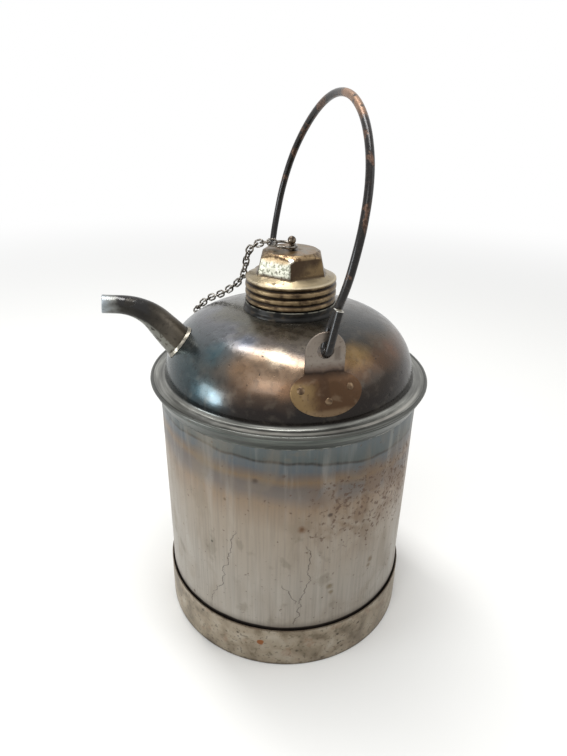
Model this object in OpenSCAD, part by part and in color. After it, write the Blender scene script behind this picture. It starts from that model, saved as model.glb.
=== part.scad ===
// Hand-carried steel fuel can with a curved spout, a chained screw cap and a wire bail.
// Millimetres, +Z up, origin on the floor under the middle of the can.
// The spout points along -X, the two bail ears stand on the Y axis.

/* [Body] */
// Outer radius of the body wall
body_r = 78.8; // [64:0.1:96]
// Height of the shoulder flange above the floor
shoulder_z = 167.8; // [130:0.1:210]
// Thickness of the body and dome sheet
sheet = 0.7; // [0.5:0.1:1.2]
// Height of the base band
band_h = 29.5; // [15:0.5:45]
// Thickness of the base band
band_wall = 0.8; // [0.5:0.1:1.5]
// Dark gap between the body wall and the base band
band_gap = 0.9; // [0.3:0.1:2]
// Height of the bottom disc above the floor
bottom_lift = 6; // [4:0.5:12]
// Width of the inward curl at the foot of the base band
band_curl = 5; // [4:0.5:8]
// Width of the lapped body seam
seam_w = 7; // [4:0.5:12]

/* [Shoulder and dome] */
// How far the rolled rim stands out past the body wall
rim_out = 5.4; // [3:0.1:8]
// Width of the flat flange between the dome foot and the rim
flange_w = 9; // [7:0.1:12]
// Radius of the roll along the rim
rim_roll_r = 1.1; // [0.8:0.1:2]
// Height of the tapered band under the rim
skirt_h = 8.2; // [5:0.1:12]
// Radius of the dome's rounded shoulder
knuckle_r = 35; // [28:0.5:40]
// Rise of the dome's crown above its rounded shoulder
crown_rise = 5.3; // [4:0.1:9]
// Radius of the hollow where the dome meets the flange
cove_r = 2.2; // [1:0.1:4]

/* [Neck and cap] */
// Radius of the filler opening
filler_r = 20.2; // [16:0.1:25]
// Wall of the neck under its thread
neck_wall = 2.2; // [1.6:0.1:3]
// Height of a thread ridge above its root
thread_depth = 1.1; // [0.8:0.1:1.4]
// Rise of the cap in one turn
thread_pitch = 3.5; // [3.5:0.1:5]
// Turns that free the cap
cap_turns = 1.5; // [1.5:0.5:2.5]
// How far the neck collar stands out past the thread
collar_out = 3.2; // [2:0.1:5]
// Height of the collar above the dome
collar_h = 5; // [3:0.1:8]
// Wall of the cap over its rings
cap_wall = 2.55; // [2.2:0.05:3.5]
// Rings round the cap's skirt, between its lip and its flange
cap_rings = 2; // [1:1:3]
// Width of the sloping flange outside the hexagon's corners
cap_step = 4.1; // [3:0.1:10]
// How far a corner of the hexagon leans in on its way up
hex_taper = 3.4; // [2:0.1:5]
// Height of the hexagon
hex_h = 12.6; // [8:0.2:16]
// Direction that one side of the hexagon faces
hex_turn = 43.5; // [0:0.5:59.5]
// Thickness of the sealing washer
gasket_t = 1.5; // [1:0.1:3]
// Radius of the ball on the cap's stud
stud_ball_r = 2.4; // [2:0.1:3.5]
// Radius of the stud's neck
stud_neck_r = 1.4; // [1:0.1:1.8]
// Height of the stud's ball above the hexagon
stud_h = 5.2; // [5:0.1:10]

/* [Chain] */
// Wire diameter of a chain link
link_wire = 1.1; // [0.8:0.1:1.3]
// Inner length of a chain link
link_len = 4.9; // [4.6:0.1:6]
// Inner width of a chain link
link_w = 2.5; // [2.4:0.1:3]
// Free play between two links at rest
link_play = 0.7; // [0.5:0.05:0.9]
// Radius of the ring on the stud, to the middle of its wire
ring_r = 6.4; // [6:0.1:8]
// Wire diameter of that ring
ring_wire = 1.6; // [1.2:0.1:1.6]
// Links that lie on the cap and rise with it
upper_links = 7; // [6:1:7]
// Links that hang free between the cap and the dome
free_links = 9; // [9:1:10]
// Direction in which the ring lies on the cap
ring_az = 152; // [145:1:160]
// Direction of the chain's eye on the dome
eye_az = 134; // [125:1:140]

/* [Spout] */
// Outer radius of the spout at its tip
spout_tip_r = 5; // [4:0.1:6]
// Outer radius of the spout at the dome
spout_base_r = 9; // [7:0.1:11]
// Wall thickness of the spout
spout_wall = 0.9; // [0.7:0.1:1.2]
// Angle of the spout's foot above the horizontal
spout_rise = 52; // [45:1:60]
// Angle of the spout's tip above the horizontal
spout_tip_rise = 6; // [0:1:20]
// Length of the straight foot
spout_foot_len = 22.5; // [16:0.5:30]
// Bend radius of the spout
spout_bend_r = 30; // [24:0.5:45]
// Length of the straight tip
spout_tip_len = 9; // [8:0.5:20]

/* [Ears and bail] */
// Distance of an ear's upright tab inside the dome's foot
ear_inset = 10.2; // [8:0.1:13]
// Width of the upright tab
ear_tab_w = 21; // [16:0.5:26]
// Thickness of the ear
ear_t = 1.2; // [0.8:0.1:2]
// Width of the oval foot plate
ear_foot_w = 38; // [30:0.5:44]
// Height of the oval foot plate
ear_foot_h = 20.8; // [16:0.2:24]
// Radius of the hole in the ear
ear_hole_r = 4.5; // [4:0.1:6]
// Height of the ear's hole above the fold
ear_hole_rise = 12.6; // [10.6:0.2:15.6]
// Diameter of a rivet's shank
rivet_d = 2.4; // [2:0.1:3]
// Wire diameter of the bail
bail_wire = 4.2; // [3:0.1:4.6]
// How far the bail's round top stands out past its legs
bail_bulge = 8.1; // [4:0.1:12]
// Distance from the spout's tip to the bail's middle line, as it swings over
bail_clear = 13; // [8:0.5:40]
// Length of the turned-up wire end beside the ear
bail_hook_len = 20.5; // [8:0.5:24]
// Lean of the bail from upright, towards +X
bail_lean = 12; // [0:1:20]

/* [Hidden] */
$fn = 72;

// Clearances
fit = 0.05;
slip = 0.1;
thread_gap = 0.35;
cap_gap = 0.6;
bail_gap = 0.4;
ring_gap = 0.4;
link_gap = 0.3;

// Shoulder, worked out
rim_r = body_r + rim_out;
dome_r = rim_r - flange_w;
web_z = shoulder_z - sheet - fit;
body_top_z = web_z - sheet - fit;
skirt_foot_z = body_top_z - skirt_h;
rim_roll_z = shoulder_z - 0.55 * rim_roll_r;

// Dome, worked out
knuckle_lift = 0.7;
knuckle_x = dome_r - knuckle_r;
knuckle_z = shoulder_z + knuckle_lift;
crown_h = knuckle_r + crown_rise;
crown_r = (pow(knuckle_x, 2) + pow(crown_h, 2) - pow(knuckle_r, 2)) / (2 * (crown_h - knuckle_r));
crown_z = knuckle_z + crown_h - crown_r;
tangent_angle = atan2(knuckle_z - crown_z, knuckle_x);

// Height of the dome's outer face at radius r, grown outwards by g
function dome_z(r, g = 0) =
    r <= (crown_r + g) * cos(tangent_angle)
    ? crown_z + sqrt(pow(crown_r + g, 2) - pow(r, 2))
    : knuckle_z + sqrt(max(0, pow(knuckle_r + g, 2) - pow(r - knuckle_x, 2)));

// Point on the dome's rounded shoulder at angle a, h above its face, as [radius, height]
function shoulder_point(a, h) = [
    knuckle_x + (knuckle_r + h) * cos(a),
    knuckle_z + (knuckle_r + h) * sin(a)
];

// The dome's outline from its foot to radius r_end, grown outwards by g
function dome_outline(g, r_end) = concat(
    [for (i = [0:14]) shoulder_point(tangent_angle * i / 14, g)],
    [for (i = [1:5])
        let (a0 = tangent_angle, a1 = acos(r_end / (crown_r + g)), a = a0 + (a1 - a0) * i / 5)
        [(crown_r + g) * cos(a), crown_z + (crown_r + g) * sin(a)]]
);

// Neck and cap, worked out
thread_root_r = filler_r + neck_wall;
thread_r = thread_root_r + thread_depth;
thread_foot = 2.6;
thread_head = 1.1;
thread_base_w = 1.35;
thread_crest_w = 0.7;
spigot_r = thread_root_r + 0.8;
neck_hole_r = spigot_r + slip;
collar_r = thread_r + collar_out;
collar_foot_z = dome_z(collar_r);
collar_top_z = collar_foot_z + collar_h;
thread_z0 = collar_top_z + thread_foot;
neck_top_z = thread_z0 + (cap_turns + 0.5) * thread_pitch + thread_head;
cap_roof_t = 1.8;
cap_crown_t = 4;
cap_bore_r = thread_r + thread_gap;
cap_r = cap_bore_r + cap_wall;
cap_bottom_z = collar_top_z + cap_gap;
cap_roof_z = neck_top_z + slip + gasket_t;
cap_flange_z = cap_roof_z + cap_roof_t;
cap_lip_h = 1.4;
ring_depth = 1.3;
ring_pitch = (cap_flange_z - cap_bottom_z - cap_lip_h) / (cap_rings + 1);
hex_base_r = cap_r - cap_step;
hex_top_r = hex_base_r - hex_taper;
hex_wall = 0.9;
hex_foot_z = cap_flange_z + 2.2;
hex_top_z = hex_foot_z + hex_h;
cap_cavity_r = hex_top_r * cos(30) - hex_wall;
stud_z = hex_top_z + stud_h;
washer_t = 0.5;

// Chain, worked out
link_pitch = link_len - link_play;
ring_tilt = 6;
ring_offset = ring_r * cos(ring_tilt) - ring_wire / 2 - stud_neck_r - ring_gap;
ring_z = hex_top_z + fit + washer_t + ring_gap + ring_wire / 2 + ring_r * sin(ring_tilt);
link_side = link_w / 2 + link_wire;
dome_ride = link_side + 0.9;
eye_angle = 34;
eye_wire = 1.3;
eye_arch_r = 2.4;
eye_step = (link_len / 2 - eye_wire / 2 - link_gap) / (knuckle_r + dome_ride) * 180 / PI;

// Spout, worked out
spout_angle = 38;
spout_depth = 6.6;
spout_foot_r = shoulder_point(spout_angle, -spout_depth)[0];
spout_foot_z = shoulder_point(spout_angle, -spout_depth)[1];
spout_sides = 24;
spout_taper_start = 4;
spout_taper_end = 2;
spout_bend = spout_rise - spout_tip_rise;
spout_arc_len = spout_bend_r * spout_bend * PI / 180;
spout_len = spout_foot_len + spout_arc_len + spout_tip_len;
spout_tip = spout_point(spout_len);

// Ears and bail, worked out
ear_y = dome_r - ear_inset;
ear_fold_z = dome_z(ear_y) + ear_t / 2;
ear_foot_z = ear_fold_z - ear_foot_h * 0.4;
ear_hole_z = ear_fold_z + ear_hole_rise;
rivet_z = [ear_foot_z + 0.065 * ear_foot_h, ear_foot_z - 0.186 * ear_foot_h];
rivet_spots = [[-0.35 * ear_foot_w, rivet_z[0]], [0, rivet_z[1]], [0.32 * ear_foot_w, rivet_z[0]]];
rivet_head_r = rivet_d * 0.8;
rivet_head_h = 0.6;
bail_r = bail_wire / 2;
bail_turn_r = bail_r + ear_t / 2 + bail_gap;
pivot_z = ear_hole_z - ear_hole_r + bail_r + 2 * slip;
leg_y = ear_y - bail_turn_r;
joint_trim = 0.2;
joint_swell = 0.05;
bail_half_w = leg_y + bail_bulge;
bail_rise = norm([spout_tip[0], spout_tip[1] - pivot_z]) + bail_clear;
hoop_z = bail_rise - bail_half_w;
hoop_past_leg = pow(bail_half_w, 2) - pow(leg_y, 2);
leg_len = 0.6 * (hoop_z - bail_turn_r - sqrt(hoop_past_leg));
leg_to_hoop = hoop_z - bail_turn_r - leg_len;
bend_r = min(12, 0.3 * (pow(leg_to_hoop, 2) - hoop_past_leg) / bail_bulge);
bend_from_hoop = [leg_y + bend_r, leg_to_hoop];
leg_flare = atan2(bend_from_hoop[1], bend_from_hoop[0]) - acos((bail_half_w + bend_r) / norm(bend_from_hoop));

// Solid under the dome's outer face, grown outwards by g
module dome_solid(g) {
    rotate_extrude()
        polygon(concat([[0, knuckle_z]], dome_outline(g, 0.01), [[0, crown_z + crown_r + g]]));
}

// A ring of rectangular section from r0 to r1 and z0 to z1
module band(r0, r1, z0, z1) {
    rotate_extrude()
        translate([r0, z0])
        square([r1 - r0, z1 - z0]);
}

// Rolled body with a lapped seam at the back
module body_shell() {
    color([0.50, 0.48, 0.45]) {
        band(body_r - sheet, body_r, band_wall + fit, body_top_z);
        rotate([0, 0, 75])
            intersection() {
                band(body_r - sheet / 2, body_r + sheet, band_h + 2, skirt_foot_z - 1);
                translate([body_r, 0, shoulder_z / 2])
                    cube([10, seam_w, shoulder_z], center = true);
            }
    }
}

// Raised bottom with a flange turned down to the floor
module bottom_disc() {
    r = body_r - sheet - fit;
    color([0.42, 0.40, 0.38]) {
        translate([0, 0, bottom_lift])
            cylinder(r = r, h = sheet);
        band(r - sheet, r, band_wall + fit, bottom_lift + sheet / 2);
    }
}

// Foot ring round the lower body, curled in under it
module base_band() {
    r = body_r + band_gap;
    color([0.48, 0.45, 0.42]) {
        band(r, r + band_wall, 0, band_h);
        band(body_r - band_curl, r + band_wall / 2, 0, band_wall);
    }
}

// Tapered band that closes the body's top edge under the rim
module shoulder_band() {
    foot_r = body_r + fit;
    skirt_r = rim_r - 0.9 * rim_roll_r;
    lip_z = rim_roll_z - rim_roll_r - fit;
    step_r = rim_r - 2 * rim_roll_r - fit;
    color([0.30, 0.30, 0.30])
        rotate_extrude()
        polygon([
            [foot_r, skirt_foot_z],
            [foot_r + sheet, skirt_foot_z],
            [skirt_r, lip_z - sheet * 1.4],
            [skirt_r, lip_z],
            [step_r, lip_z],
            [step_r, web_z],
            [dome_r - sheet, web_z],
            [dome_r - sheet, web_z - sheet],
            [step_r - sheet, web_z - sheet],
            [skirt_r - sheet * 1.6, lip_z - sheet * 1.4],
            [foot_r, skirt_foot_z + sheet / 2]
        ]);
}

// Domed top with its flange, rim roll, neck hole and spout hole
module dome_top() {
    outer = dome_outline(0, neck_hole_r);
    inner = dome_outline(-sheet, neck_hole_r);
    cove = [for (a = [0:22.5:90])
        [dome_r + cove_r * (1 - sin(a)), shoulder_z + cove_r * (1 - cos(a))]];
    flange_r = rim_r - rim_roll_r;
    color([0.36, 0.33, 0.30])
        difference() {
            union() {
                rotate_extrude()
                    polygon(concat(
                        [[flange_r, shoulder_z - sheet], [flange_r, shoulder_z]],
                        cove,
                        [for (i = [1:len(outer) - 1]) outer[i]],
                        [for (i = [len(inner) - 1:-1:1]) inner[i]],
                        [[dome_r - sheet, shoulder_z - sheet]]
                    ));
                rotate_extrude()
                    translate([rim_r - rim_roll_r, rim_roll_z])
                    circle(r = rim_roll_r, $fn = 24);
            }
            spout_drill(spout_base_r + slip);
            each_rivet()
                cylinder(r = rivet_d / 2 + fit, h = 12, center = true, $fn = 24);
        }
}

// Cylinder along the spout's straight foot
module spout_drill(r) {
    rotate([0, 0, 180])
        translate([spout_foot_r, 0, spout_foot_z])
        rotate([0, 90 - spout_rise, 0])
        cylinder(r = r, h = 16);
}

// Points of a helical ridge: inner edge, outer edge, both flanks
function ridge_ring(r_in, r_out, w_in, w_out, a, z) = [
    [r_in * cos(a), r_in * sin(a), z - w_in / 2],
    [r_out * cos(a), r_out * sin(a), z - w_out / 2],
    [r_out * cos(a), r_out * sin(a), z + w_out / 2],
    [r_in * cos(a), r_in * sin(a), z + w_in / 2]
];

// One helical ridge, right-handed, from r_root to r_crest, fading at both ends
module ridge(r_root, r_crest, z0) {
    steps = ceil(cap_turns * 24);
    fade_steps = 4;
    rings = [for (i = [0:steps])
        let (
            a = 360 * cap_turns * i / steps,
            fade = min(1, i / fade_steps, (steps - i) / fade_steps),
            tip = r_root + (r_crest - r_root) * max(0.3, fade)
        )
        ridge_ring(r_root, tip, thread_base_w, thread_crest_w, a, z0 + thread_pitch * a / 360)];
    points = [for (ring = rings) for (p = ring) p];
    sides = [for (i = [0:steps - 1]) for (k = [0:3])
        let (a = 4 * i + k, b = 4 * i + (k + 1) % 4)
        for (t = [[a, b, a + 4], [b, b + 4, a + 4]]) t];
    last = 4 * steps;
    ends = [[0, 2, 1], [0, 3, 2], [last, last + 1, last + 2], [last, last + 2, last + 3]];
    faces = concat(sides, ends);
    polyhedron(points, r_crest > r_root ? faces : [for (f = faces) [f[0], f[2], f[1]]], convexity = 6);
}

// Soldered neck: collar on the dome, threaded tube above, spigot below
module neck_collar() {
    color([0.13, 0.12, 0.11]) {
        difference() {
            union() {
                rotate_extrude()
                    polygon([
                        [filler_r - slip, collar_foot_z - 3],
                        [spigot_r, collar_foot_z - 3],
                        [spigot_r, dome_z(spigot_r) + fit],
                        [collar_r + 1, dome_z(collar_r + 1) + fit],
                        [collar_r + 0.9, collar_foot_z + 0.9],
                        [collar_r, collar_foot_z + 2],
                        [collar_r, collar_top_z - 0.4],
                        [collar_r - 0.4, collar_top_z],
                        [thread_root_r, collar_top_z],
                        [thread_root_r, neck_top_z],
                        [filler_r - slip, neck_top_z]
                    ]);
                ridge(thread_root_r - 0.4, thread_r, thread_z0);
            }
            translate([0, 0, collar_foot_z - 4])
                cylinder(r = filler_r, h = neck_top_z - collar_foot_z + 5);
        }
    }
}

// Section of one ring round the cap, its middle at height z
function cap_ring(z) = [
    [cap_r - ring_depth, z - ring_pitch * 0.46],
    [cap_r, z - ring_pitch * 0.2],
    [cap_r, z + ring_pitch * 0.2],
    [cap_r - ring_depth, z + ring_pitch * 0.46]
];

// Outline of the cap's skirt, lip, rings and flange
function cap_outline() = concat(
    [
        [cap_bore_r, cap_bottom_z],
        [cap_r - 0.7, cap_bottom_z],
        [cap_r - 0.2, cap_bottom_z + 0.5],
        [cap_r - 0.2, cap_bottom_z + cap_lip_h]
    ],
    [for (k = [1:cap_rings]) for (p = cap_ring(cap_bottom_z + cap_lip_h / 2 + k * ring_pitch)) p],
    [
        [cap_r - 0.2, cap_flange_z - cap_lip_h - 0.2],
        [cap_r - 0.2, cap_flange_z - 0.4],
        [cap_r - 0.9, cap_flange_z],
        [hex_base_r - 2, hex_foot_z + 0.4],
        [0, hex_foot_z + 0.4],
        [0, cap_roof_z],
        [cap_bore_r, cap_roof_z]
    ]
);

// Tapered hexagon with its top corners turned off
module cap_hex() {
    base_a = hex_base_r * cos(30);
    top_a = hex_top_r * cos(30);
    intersection() {
        hex_wedge(base_a, top_a, hex_turn);
        hex_wedge(base_a, top_a, hex_turn + 60);
        hex_wedge(base_a, top_a, hex_turn + 120);
        rotate_extrude()
            polygon([
                [0, hex_foot_z - 1], [2 * hex_base_r, hex_foot_z - 1], [2 * hex_base_r, hex_foot_z + 2],
                [hex_top_r + 0.7, hex_top_z - 2.8], [hex_top_r - 3.9, hex_top_z], [0, hex_top_z]
            ]);
    }
}

// Long prism whose two sloping faces are one pair of the hexagon's sides
module hex_wedge(base_a, top_a, turn) {
    rotate([0, 0, turn])
        rotate([90, 0, 0])
        linear_extrude(height = 4 * hex_base_r, center = true)
        polygon([
            [-base_a, hex_foot_z - 1], [base_a, hex_foot_z - 1], [top_a, hex_top_z], [-top_a, hex_top_z]
        ]);
}

// Screw cap: ringed skirt, inner thread and hollow hexagon
module filler_cap() {
    color([0.52, 0.45, 0.36])
        difference() {
            union() {
                rotate_extrude()
                    polygon(cap_outline());
                cap_hex();
                ridge(cap_bore_r + 0.4, thread_root_r + thread_gap, thread_z0 + thread_pitch / 2);
            }
            translate([0, 0, cap_roof_z - 1])
                cylinder(r = cap_cavity_r, h = hex_top_z - cap_crown_t - cap_roof_z + 1);
            translate([0, 0, hex_top_z - cap_crown_t - 1])
                cylinder(r = stud_neck_r + fit, h = cap_crown_t + 2, $fn = 24);
        }
}

// Flat sealing washer held in the cap's roof
module cap_gasket() {
    color([0.45, 0.33, 0.22])
        band(cap_cavity_r + 1.5, cap_bore_r - slip, cap_roof_z - gasket_t, cap_roof_z);
}

// Ball-headed stud, riveted over inside the hexagon
module cap_stud() {
    color([0.45, 0.42, 0.38]) {
        translate([0, 0, hex_top_z - cap_crown_t - 0.9])
            cylinder(r = stud_neck_r, h = cap_crown_t + 0.9 + stud_h, $fn = 32);
        translate([0, 0, stud_z])
            sphere(r = stud_ball_r, $fn = 32);
        translate([0, 0, hex_top_z - cap_crown_t - 1.2 - fit])
            cylinder(r = stud_neck_r + 1.4, h = 1.2, $fn = 32);
        translate([0, 0, hex_top_z + fit])
            cylinder(r = stud_neck_r + 0.9, h = washer_t, $fn = 32);
    }
}

// Ring that swivels on the stud's neck and leans on the hexagon
module chain_ring() {
    color([0.62, 0.60, 0.57])
        rotate([0, 0, ring_az])
        translate([ring_offset, 0, ring_z])
        rotate([0, -ring_tilt, 0])
        rotate_extrude()
        translate([ring_r, 0])
        circle(r = ring_wire / 2, $fn = 24);
}

// Cylindrical to Cartesian
function polar(r, az, z) = [r * cos(az), r * sin(az), z];

// The chain's route: off the ring, over the cap's edge, across the dome to the eye
ring_end_r = ring_offset + ring_r * cos(ring_tilt);
ring_end_z = ring_z + ring_r * sin(ring_tilt);
link_reach = link_len / 2 - ring_wire / 2 - link_gap;
edge_r = cap_r + link_side;
route = concat(
    [
        polar(ring_end_r + link_reach, ring_az, ring_end_z + 0.1),
        polar(ring_end_r + link_reach + 5, ring_az - 3, ring_end_z - 0.3),
        polar(hex_top_r + 2.6, ring_az - 6, hex_top_z + 1.1),
        polar(cap_r + 0.4, ring_az - 9.5, hex_top_z - 3.4),
        polar(edge_r + 1.2, ring_az - 13, cap_flange_z + 3),
        polar(edge_r + 3.2, ring_az - 15, cap_flange_z - 3.6),
        polar(edge_r + 6.8, eye_az + 2, cap_flange_z - 9.2)
    ],
    [for (i = [1:4])
        let (
            p0 = [edge_r + 6.8, cap_flange_z - 9.2],
            p1 = shoulder_point(62, dome_ride),
            f = i / 4,
            sag = 1.6 * sin(180 * f)
        )
        polar(p0[0] + (p1[0] - p0[0]) * f, eye_az + 2 - 2 * f, p0[1] + (p1[1] - p0[1]) * f - sag)],
    [for (a = [56:-6:44]) let (p = shoulder_point(a, dome_ride)) polar(p[0], eye_az, p[1])],
    [let (p = shoulder_point(eye_angle + eye_step, dome_ride)) polar(p[0], eye_az, p[1])]
);

// Running length of the route up to each point
function run_lengths(i = 0, sum = 0) =
    i >= len(route) - 1
    ? [sum]
    : concat([sum], run_lengths(i + 1, sum + norm(route[i + 1] - route[i])));
lengths = run_lengths();
route_len = lengths[len(lengths) - 1];
link_count = 2 * round(route_len / link_pitch / 2 - 0.5) + 1;
step_len = route_len / (link_count - 1);

// Segment of the route that holds running length s
function segment(s, i = 0) = i >= len(route) - 2 || lengths[i + 1] >= s ? i : segment(s, i + 1);

// Point on the route at running length s
function along(s) =
    let (i = segment(s), f = (s - lengths[i]) / (lengths[i + 1] - lengths[i]))
    route[i] + (route[i + 1] - route[i]) * f;

function unit(v) = v / norm(v);

// One link: a wire loop with straight sides, lying in the XY plane
module link_shape() {
    half = (link_len - link_w) / 2;
    bow_r = (link_w + link_wire) / 2;
    for (end = [0, 180])
        rotate([0, 0, end]) {
            translate([half, 0, 0])
                rotate([0, 0, -90])
                rotate_extrude(angle = 180)
                translate([bow_r, 0])
                circle(r = link_wire / 2, $fn = 16);
            translate([0, bow_r, 0])
                rotate([0, 90, 0])
                cylinder(r = link_wire / 2, h = 2 * half, center = true, $fn = 16);
        }
}

// Link number k on the route, flat or standing in turn
module placed_link(k) {
    s = k * step_len;
    mid = along(s);
    ahead = along(min(route_len, s + step_len * 0.6));
    behind = along(max(0, s - step_len * 0.6));
    x = unit(ahead - behind);
    side = [-sin(eye_az), cos(eye_az), 0];
    y = unit(side - x * (side * x));
    z = cross(x, y);
    color([0.66, 0.64, 0.60])
        multmatrix([
            [x[0], y[0], z[0], mid[0]],
            [x[1], y[1], z[1], mid[1]],
            [x[2], y[2], z[2], mid[2]],
            [0, 0, 0, 1]
        ])
        rotate([k % 2 == 0 ? 90 : 0, 0, 0])
        link_shape();
}

// Links that lie on the cap
module chain_upper() {
    for (k = [0:upper_links - 1])
        placed_link(k);
}

// Links that lie on the dome
module chain_lower() {
    for (k = [upper_links + free_links:link_count - 1])
        placed_link(k);
}

// Staple on the dome that holds the chain's last link
module chain_eye() {
    foot = shoulder_point(eye_angle, 0);
    arch_r = eye_arch_r;
    color([0.40, 0.38, 0.35]) {
        rotate([0, 0, eye_az])
            translate([foot[0], 0, foot[1]])
            rotate([0, 90 - eye_angle, 0]) {
                translate([0, 0, dome_ride - arch_r])
                    rotate([0, 0, 90])
                    rotate([90, 0, 0])
                    rotate_extrude(angle = 180)
                    translate([arch_r, 0])
                    circle(r = eye_wire / 2, $fn = 16);
                for (y = [-arch_r, arch_r])
                    translate([0, y, 0.3])
                        cylinder(r = eye_wire / 2, h = dome_ride - arch_r - 0.3, $fn = 16);
            }
        intersection() {
            difference() {
                dome_solid(0.6);
                dome_solid(fit);
            }
            rotate([0, 0, eye_az])
                translate([foot[0], 0, foot[1]])
                rotate([0, 90 - eye_angle, 0])
                cylinder(r = arch_r + 2.6, h = 8, center = true);
        }
    }
}

// Radius of the spout at a distance u from its tip
function spout_r(u) =
    let (x = max(0, min(1, (u - spout_taper_start) / (spout_len - spout_taper_start - spout_taper_end))))
    spout_tip_r + (spout_base_r - spout_tip_r) * x * x * (3 - 2 * x);

// Centre of the spout at length s from its foot, as [distance, height, angle]
function spout_point(s) =
    let (
        bend_x = spout_foot_r + spout_foot_len * cos(spout_rise),
        bend_z = spout_foot_z + spout_foot_len * sin(spout_rise),
        t = max(0, min(spout_arc_len, s - spout_foot_len)) / spout_bend_r * 180 / PI,
        arc_x = bend_x + spout_bend_r * (sin(spout_rise) - sin(spout_rise - t)),
        arc_z = bend_z + spout_bend_r * (cos(spout_rise - t) - cos(spout_rise)),
        past = max(0, s - spout_foot_len - spout_arc_len)
    )
    s <= spout_foot_len
    ? [spout_foot_r + s * cos(spout_rise), spout_foot_z + s * sin(spout_rise), spout_rise]
    : [arc_x + past * cos(spout_tip_rise), arc_z + past * sin(spout_tip_rise), spout_rise - t];

// A closed ring of points round the spout's centre line
function spout_ring(s, r) =
    let (c = spout_point(s))
    [for (k = [0:spout_sides - 1])
        let (a = 360 * k / spout_sides, u = r * cos(a))
        [-(c[0] - u * sin(c[2])), -r * sin(a), c[1] + u * cos(c[2])]];

// Curved tube as one closed skin, outside first, then inside
module spout_skin(wall) {
    stations = concat(
        [0, spout_foot_len * 0.5],
        [for (i = [0:8]) spout_foot_len + spout_arc_len * i / 8],
        [spout_len]
    );
    n = len(stations);
    m = spout_sides;
    outer = [for (s = stations) for (p = spout_ring(s, spout_r(spout_len - s) - slip)) p];
    inner = [for (s = stations) for (p = spout_ring(s, spout_r(spout_len - s) - wall - 2 * slip)) p];
    skin = [for (i = [0:n - 2]) for (k = [0:m - 1])
        let (a = i * m + k, b = i * m + (k + 1) % m)
        for (t = [[a, b, a + m], [b, b + m, a + m]]) t];
    lining = [for (t = skin) [t[0] + n * m, t[2] + n * m, t[1] + n * m]];
    foot_rim = [for (k = [0:m - 1])
        let (a = k, b = (k + 1) % m)
        for (t = [[a, a + n * m, b], [b, a + n * m, b + n * m]]) t];
    tip = (n - 1) * m;
    tip_rim = [for (k = [0:m - 1])
        let (a = tip + k, b = tip + (k + 1) % m)
        for (t = [[a, b, a + n * m], [b, b + n * m, a + n * m]]) t];
    polyhedron(concat(outer, inner), concat(skin, lining, foot_rim, tip_rim), convexity = 8);
}

// Places children at the spout's tip, with +Z along the way out
module at_spout_tip() {
    translate([-spout_tip[0], 0, spout_tip[1]])
        rotate([0, -90 + spout_tip[2], 0])
        children();
}

// Tapered curved spout with a straight, truly round tip
module spout_tube() {
    color([0.22, 0.20, 0.18])
        difference() {
            union() {
                spout_skin(spout_wall);
                at_spout_tip()
                    translate([0, 0, -spout_tip_len + 1])
                    difference() {
                        cylinder(r = spout_tip_r, h = spout_tip_len - 1);
                        translate([0, 0, -1])
                            cylinder(r = spout_tip_r - spout_wall - slip, h = spout_tip_len + 1);
                    }
            }
            at_spout_tip()
                translate([0, 0, -spout_tip_len + 0.5])
                cylinder(r = spout_tip_r - spout_wall, h = spout_tip_len);
        }
}

// Solder ring where the spout meets the dome
module spout_collar() {
    color([0.55, 0.53, 0.50])
        difference() {
            intersection() {
                difference() {
                    dome_solid(1.5);
                    dome_solid(fit);
                }
                spout_drill(spout_base_r + 1.8);
            }
            spout_drill(spout_base_r + fit);
        }
}

// Outline of the ear's foot plate, seen from outside
function ear_foot_outline() = [for (k = [0:39])
    let (a = 360 * k / 40, up = sin(a))
    [ear_foot_w / 2 * cos(a), ear_foot_z + ear_foot_h * (up > 0 ? 0.46 : 0.54) * up]];

// Ear: oval foot that follows the dome, and an upright tab with the bail's hole
module ear() {
    tab_r = ear_tab_w / 2;
    tab_z = ear_hole_z - 0.9;
    color([0.45, 0.38, 0.33])
        difference() {
            union() {
                intersection() {
                    difference() {
                        dome_solid(ear_t + fit);
                        dome_solid(fit);
                    }
                    translate([0, -ear_y, 0])
                        rotate([90, 0, 0])
                        linear_extrude(height = 60, center = true)
                        polygon(ear_foot_outline());
                }
                difference() {
                    translate([-tab_r, -ear_y - ear_t / 2, ear_foot_z])
                        cube([ear_tab_w, ear_t, tab_z - ear_foot_z]);
                    dome_solid(fit);
                }
                translate([0, -ear_y, tab_z])
                    rotate([90, 0, 0])
                    cylinder(r = tab_r, h = ear_t, center = true);
            }
            translate([0, -ear_y, ear_hole_z])
                rotate([90, 0, 0])
                cylinder(r = ear_hole_r, h = 6, center = true);
            each_rivet()
                cylinder(r = rivet_d / 2 + fit, h = 12, center = true, $fn = 24);
        }
}

module ear_front() {
    ear();
}

module ear_back() {
    rotate([0, 0, 180])
        ear();
}

// Puts children on each rivet's axis, +Z along the dome's outward normal
module each_rivet() {
    for (turn = [0, 180])
        for (spot = rivet_spots) {
            rise = asin((spot[1] - knuckle_z) / knuckle_r);
            p = shoulder_point(rise, 0);
            rotate([0, 0, turn + asin(spot[0] / p[0]) - 90])
                translate([p[0], 0, p[1]])
                rotate([0, 90 - rise, 0])
                children();
        }
}

// Six rivets through the ears and the dome
module ear_rivets() {
    tail_z = -sheet - rivet_head_h - 4 * fit;
    head_z = ear_t + 2 * fit;
    color([0.30, 0.25, 0.20])
        each_rivet() {
            translate([0, 0, tail_z])
                cylinder(r = rivet_head_r, h = rivet_head_h, $fn = 24);
            translate([0, 0, tail_z])
                cylinder(r = rivet_d / 2, h = head_z - tail_z + rivet_head_h / 2, $fn = 24);
            translate([0, 0, head_z])
                cylinder(r1 = rivet_head_r, r2 = rivet_head_r * 0.6, h = rivet_head_h, $fn = 24);
        }
}

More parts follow.
